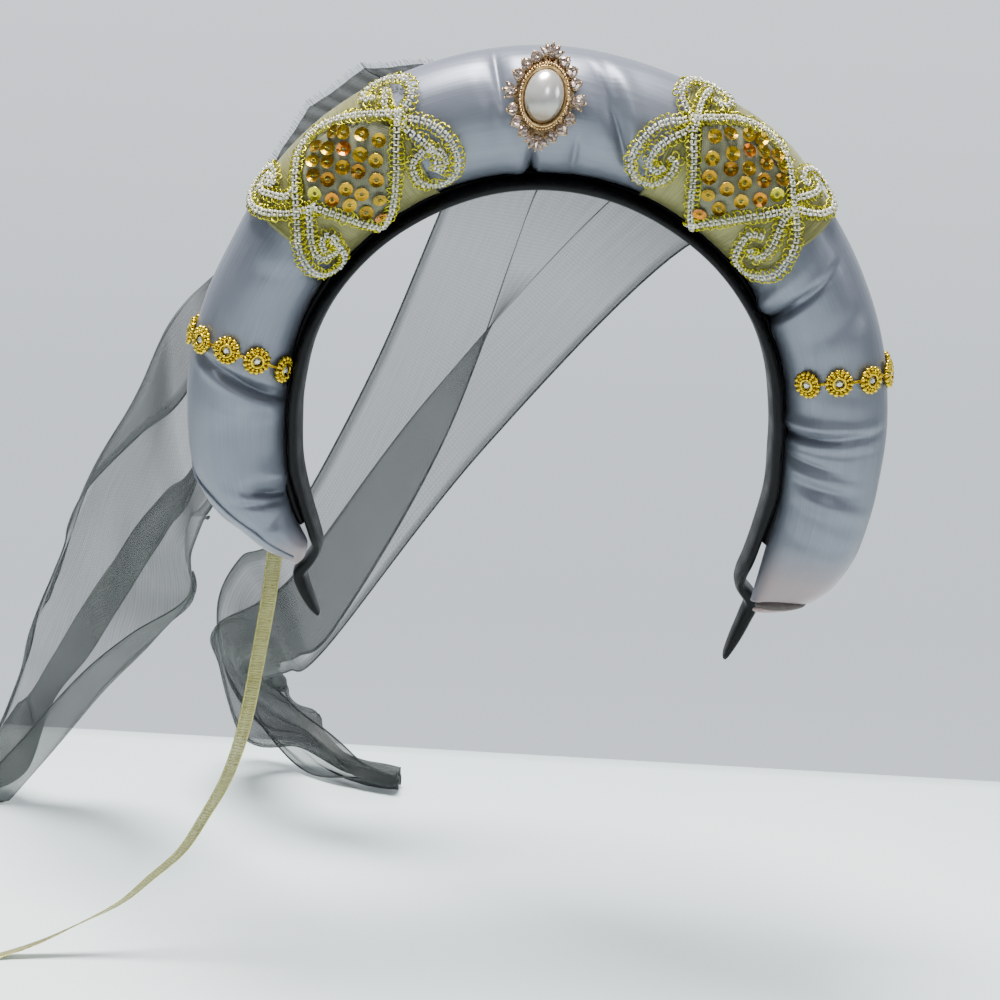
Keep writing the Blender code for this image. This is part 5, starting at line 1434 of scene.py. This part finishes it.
def buildTie():
    rows = smoothRows(tiePoints, np.linspace(0, len(tiePoints) - 1, 16 * (len(tiePoints) - 1) + 1))
    line = rows[:, :3]
    ahead = unit(np.gradient(line, axis=0))
    flat = unit(np.cross(ahead, np.array([0.0, 1.0, 0.0])))
    level = unit(np.cross(flat, ahead))
    turn = np.radians(rows[:, 3:4])
    wide = flat * np.cos(turn) + level * np.sin(turn)
    thin = np.cross(ahead, wide)
    half = tieMake["width"] / 2
    run = runOf(line)
    offsets = np.linspace(-1, 1, 13)
    crown = tieMake["crown"] * np.cos(offsets * 4.5)
    middle = line[:, None] + wide[:, None] * (offsets * (half - 0.25))[None, :, None]
    front, back = [middle + thin[:, None] * (crown + lift)[None, :, None]
                   for lift in (tieMake["filmHalf"], -tieMake["filmHalf"])]
    loop = np.concatenate([front, back[:, ::-1]], axis=1)
    uv = gridPlaces(run, np.linspace(0, 11.0, loop.shape[1] + 1))
    points, faces, corners = gridShape(loop, closed=True, uv=uv)
    film = makeObject("meshTie", points, faces, [goldMesh], corners)
    cords = [tubeShape(line + wide * s * (half - 0.3), tieMake["edgeRadius"], 6, up=thin[0]) for s in (-1, 1)]
    edges = facesOut(makeObject("tieEdges", *joined(cords), looks=[tieWire]))
    count = int(run[-1] / tieMake["ribPitch"])
    at = evenSteps(run, 0.4, run[-1] - 0.4, count)
    rib = tubeShape([(-half + 0.3, 0, 0.1), (-0.9, 0.1, 0.2), (0.9, -0.1, 0.2), (half - 0.3, 0, 0.1)],
                    tieMake["ribRadius"], 4)
    ribs = setOnPoints("tieRibs", smoothRows(line, at), smoothRows(thin, at), smoothRows(wide, at), rib,
                       tieWire, Seed=95)
    return film, edges, ribs, line, run[-1]


film, edges, ribs, tieLine, tieLength = buildTie()
for piece in (film, edges, ribs):
    keep(piece, "gold_mesh")
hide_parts("ribbon_tie")
print("tie made", round(tieLength, 1))

# table, light and camera
studio = {
    "table": -265.0, "tableFront": -2600.0, "tableBack": 345.0, "wallBack": 1500.0, "wallGlow": 1.3,
    "wallTint": (0.915, 0.985, 1.05), "worldStrength": 0.40,
    "camera": (-10.3, -703.1, -0.1), "pitch": 8.0, "roll": 3.3, "lens": 81.0,
}
wallTones = [(0.0, 0.80), (0.16, 0.74), (0.34, 0.76), (0.62, 0.89), (1.0, 0.95)]  # share of its height, tone
worldTones = [(0.0, (0.22, 0.23, 0.25)), (0.5, (0.62, 0.66, 0.70)), (1.0, (1.0, 1.0, 1.0))]
lamps = [  # name, place and target in metres, size, power, colour
    ("topSoftbox", (-0.15, -0.12, 1.0), (0, 0.02, -0.05), 0.6, 57.0, (1.0, 0.995, 0.98)),
    ("frontFill", (0.3, -1.2, 0.55), (0, 0, -0.1), 0.35, 2.5, (0.95, 0.97, 1.0)),
    ("sideFill", (1.2, -0.35, 0.35), (0, 0, -0.1), 0.5, 3.0, (0.93, 0.97, 1.0)),
]


def buildTable():
    back = studio["tableBack"]
    y = np.array([studio["tableFront"], back - 30.0, back - 8.0, back, back])  # its back edge is rounded
    z = np.array([0.0, 0.0, -2.0, -12.0, -60.0]) + studio["table"] - 0.2
    y, z, x = np.broadcast_arrays(y[:, None], z[:, None], np.linspace(-2200.0, 2200.0, 12)[None, :])
    look, tree, shader, place = newLook("paleTable", "object", {
        "Roughness": 0.42, "Specular IOR Level": 0.35})
    patchy = softPatches(place, 220.0)
    feed(shader, "Base Color", mixColours(tree, patchy, (0.70, 0.79, 0.79), (0.76, 0.845, 0.84)))
    points, faces, none = gridShape(np.stack([x, y, z], axis=-1))
    makeObject("paleTable", points, faces[:, ::-1], [look])


def addLamp(name, place, target, size, power, colour):
    data = bpy.data.lights.new(name, "AREA")
    data.shape, data.size, data.energy, data.color = "DISK", size, power, colour
    lamp = bpy.data.objects.new(name, data)
    lamp.location = place
    lamp.rotation_euler = (Vector(target) - Vector(place)).to_track_quat("-Z", "Y").to_euler()
    bpy.context.scene.collection.objects.link(lamp)


def buildWorld():  # light comes from above, with little from below
    world = bpy.data.worlds.new("softRoom")
    bpy.context.scene.world = world
    world.use_nodes = True
    tree = world.node_tree
    back = tree.nodes["Background"]
    back.inputs["Strength"].default_value = studio["worldStrength"]
    way = addNode(tree, "ShaderNodeTexCoord")
    split = addNode(tree, "ShaderNodeSeparateXYZ", {"Vector": way.outputs["Generated"]})
    height = remap(tree, split.outputs["Z"], 0.0, 1.0, -0.6, 0.9)
    tree.links.new(colourRamp(tree, height, worldTones), back.inputs["Color"])


def buildBackdrop():  # the pale wall glows with painted light, a little darker towards the table
    x, z = np.meshgrid(np.linspace(-3200, 3200, 9), np.linspace(-1500, 2600, 9))
    grid = np.stack([x, np.full(x.shape, studio["wallBack"]), z], axis=-1)
    look, tree, shader, place = newLook("paleWall", "object", {
        "Base Color": (0.0, 0.0, 0.0, 1.0), "Roughness": 1.0, "Specular IOR Level": 0.0,
        "Emission Strength": studio["wallGlow"]})
    split = addNode(tree, "ShaderNodeSeparateXYZ", {"Vector": place})
    height = remap(tree, split.outputs["Z"], 0.0, 1.0, -620.0, 620.0)
    stops = [(at, [tone * part for part in studio["wallTint"]]) for at, tone in wallTones]
    feed(shader, "Emission Color", colourRamp(tree, height, stops))
    points, faces, none = gridShape(grid)
    makeObject("paleWall", points, faces, [look])


def buildCamera():
    data = bpy.data.cameras.new("photoCamera")
    data.lens, data.sensor_width = studio["lens"], 36.0
    data.clip_start, data.clip_end = 0.01, 20.0
    camera = bpy.data.objects.new("photoCamera", data)
    pitch, lean = math.radians(studio["pitch"]), math.radians(studio["roll"])
    level, upright = Vector((1, 0, 0)), Vector((0, math.sin(pitch), math.cos(pitch)))
    right = level * math.cos(lean) + upright * math.sin(lean)
    up = upright * math.cos(lean) - level * math.sin(lean)
    turn = Matrix((right, up, right.cross(up))).transposed()
    camera.matrix_world = Matrix.Translation(Vector(studio["camera"]) * mm) @ turn.to_4x4()
    bpy.context.scene.collection.objects.link(camera)
    bpy.context.scene.camera = camera


buildTable()
for lamp in lamps:
    addLamp(*lamp)
buildBackdrop()
buildWorld()
buildCamera()
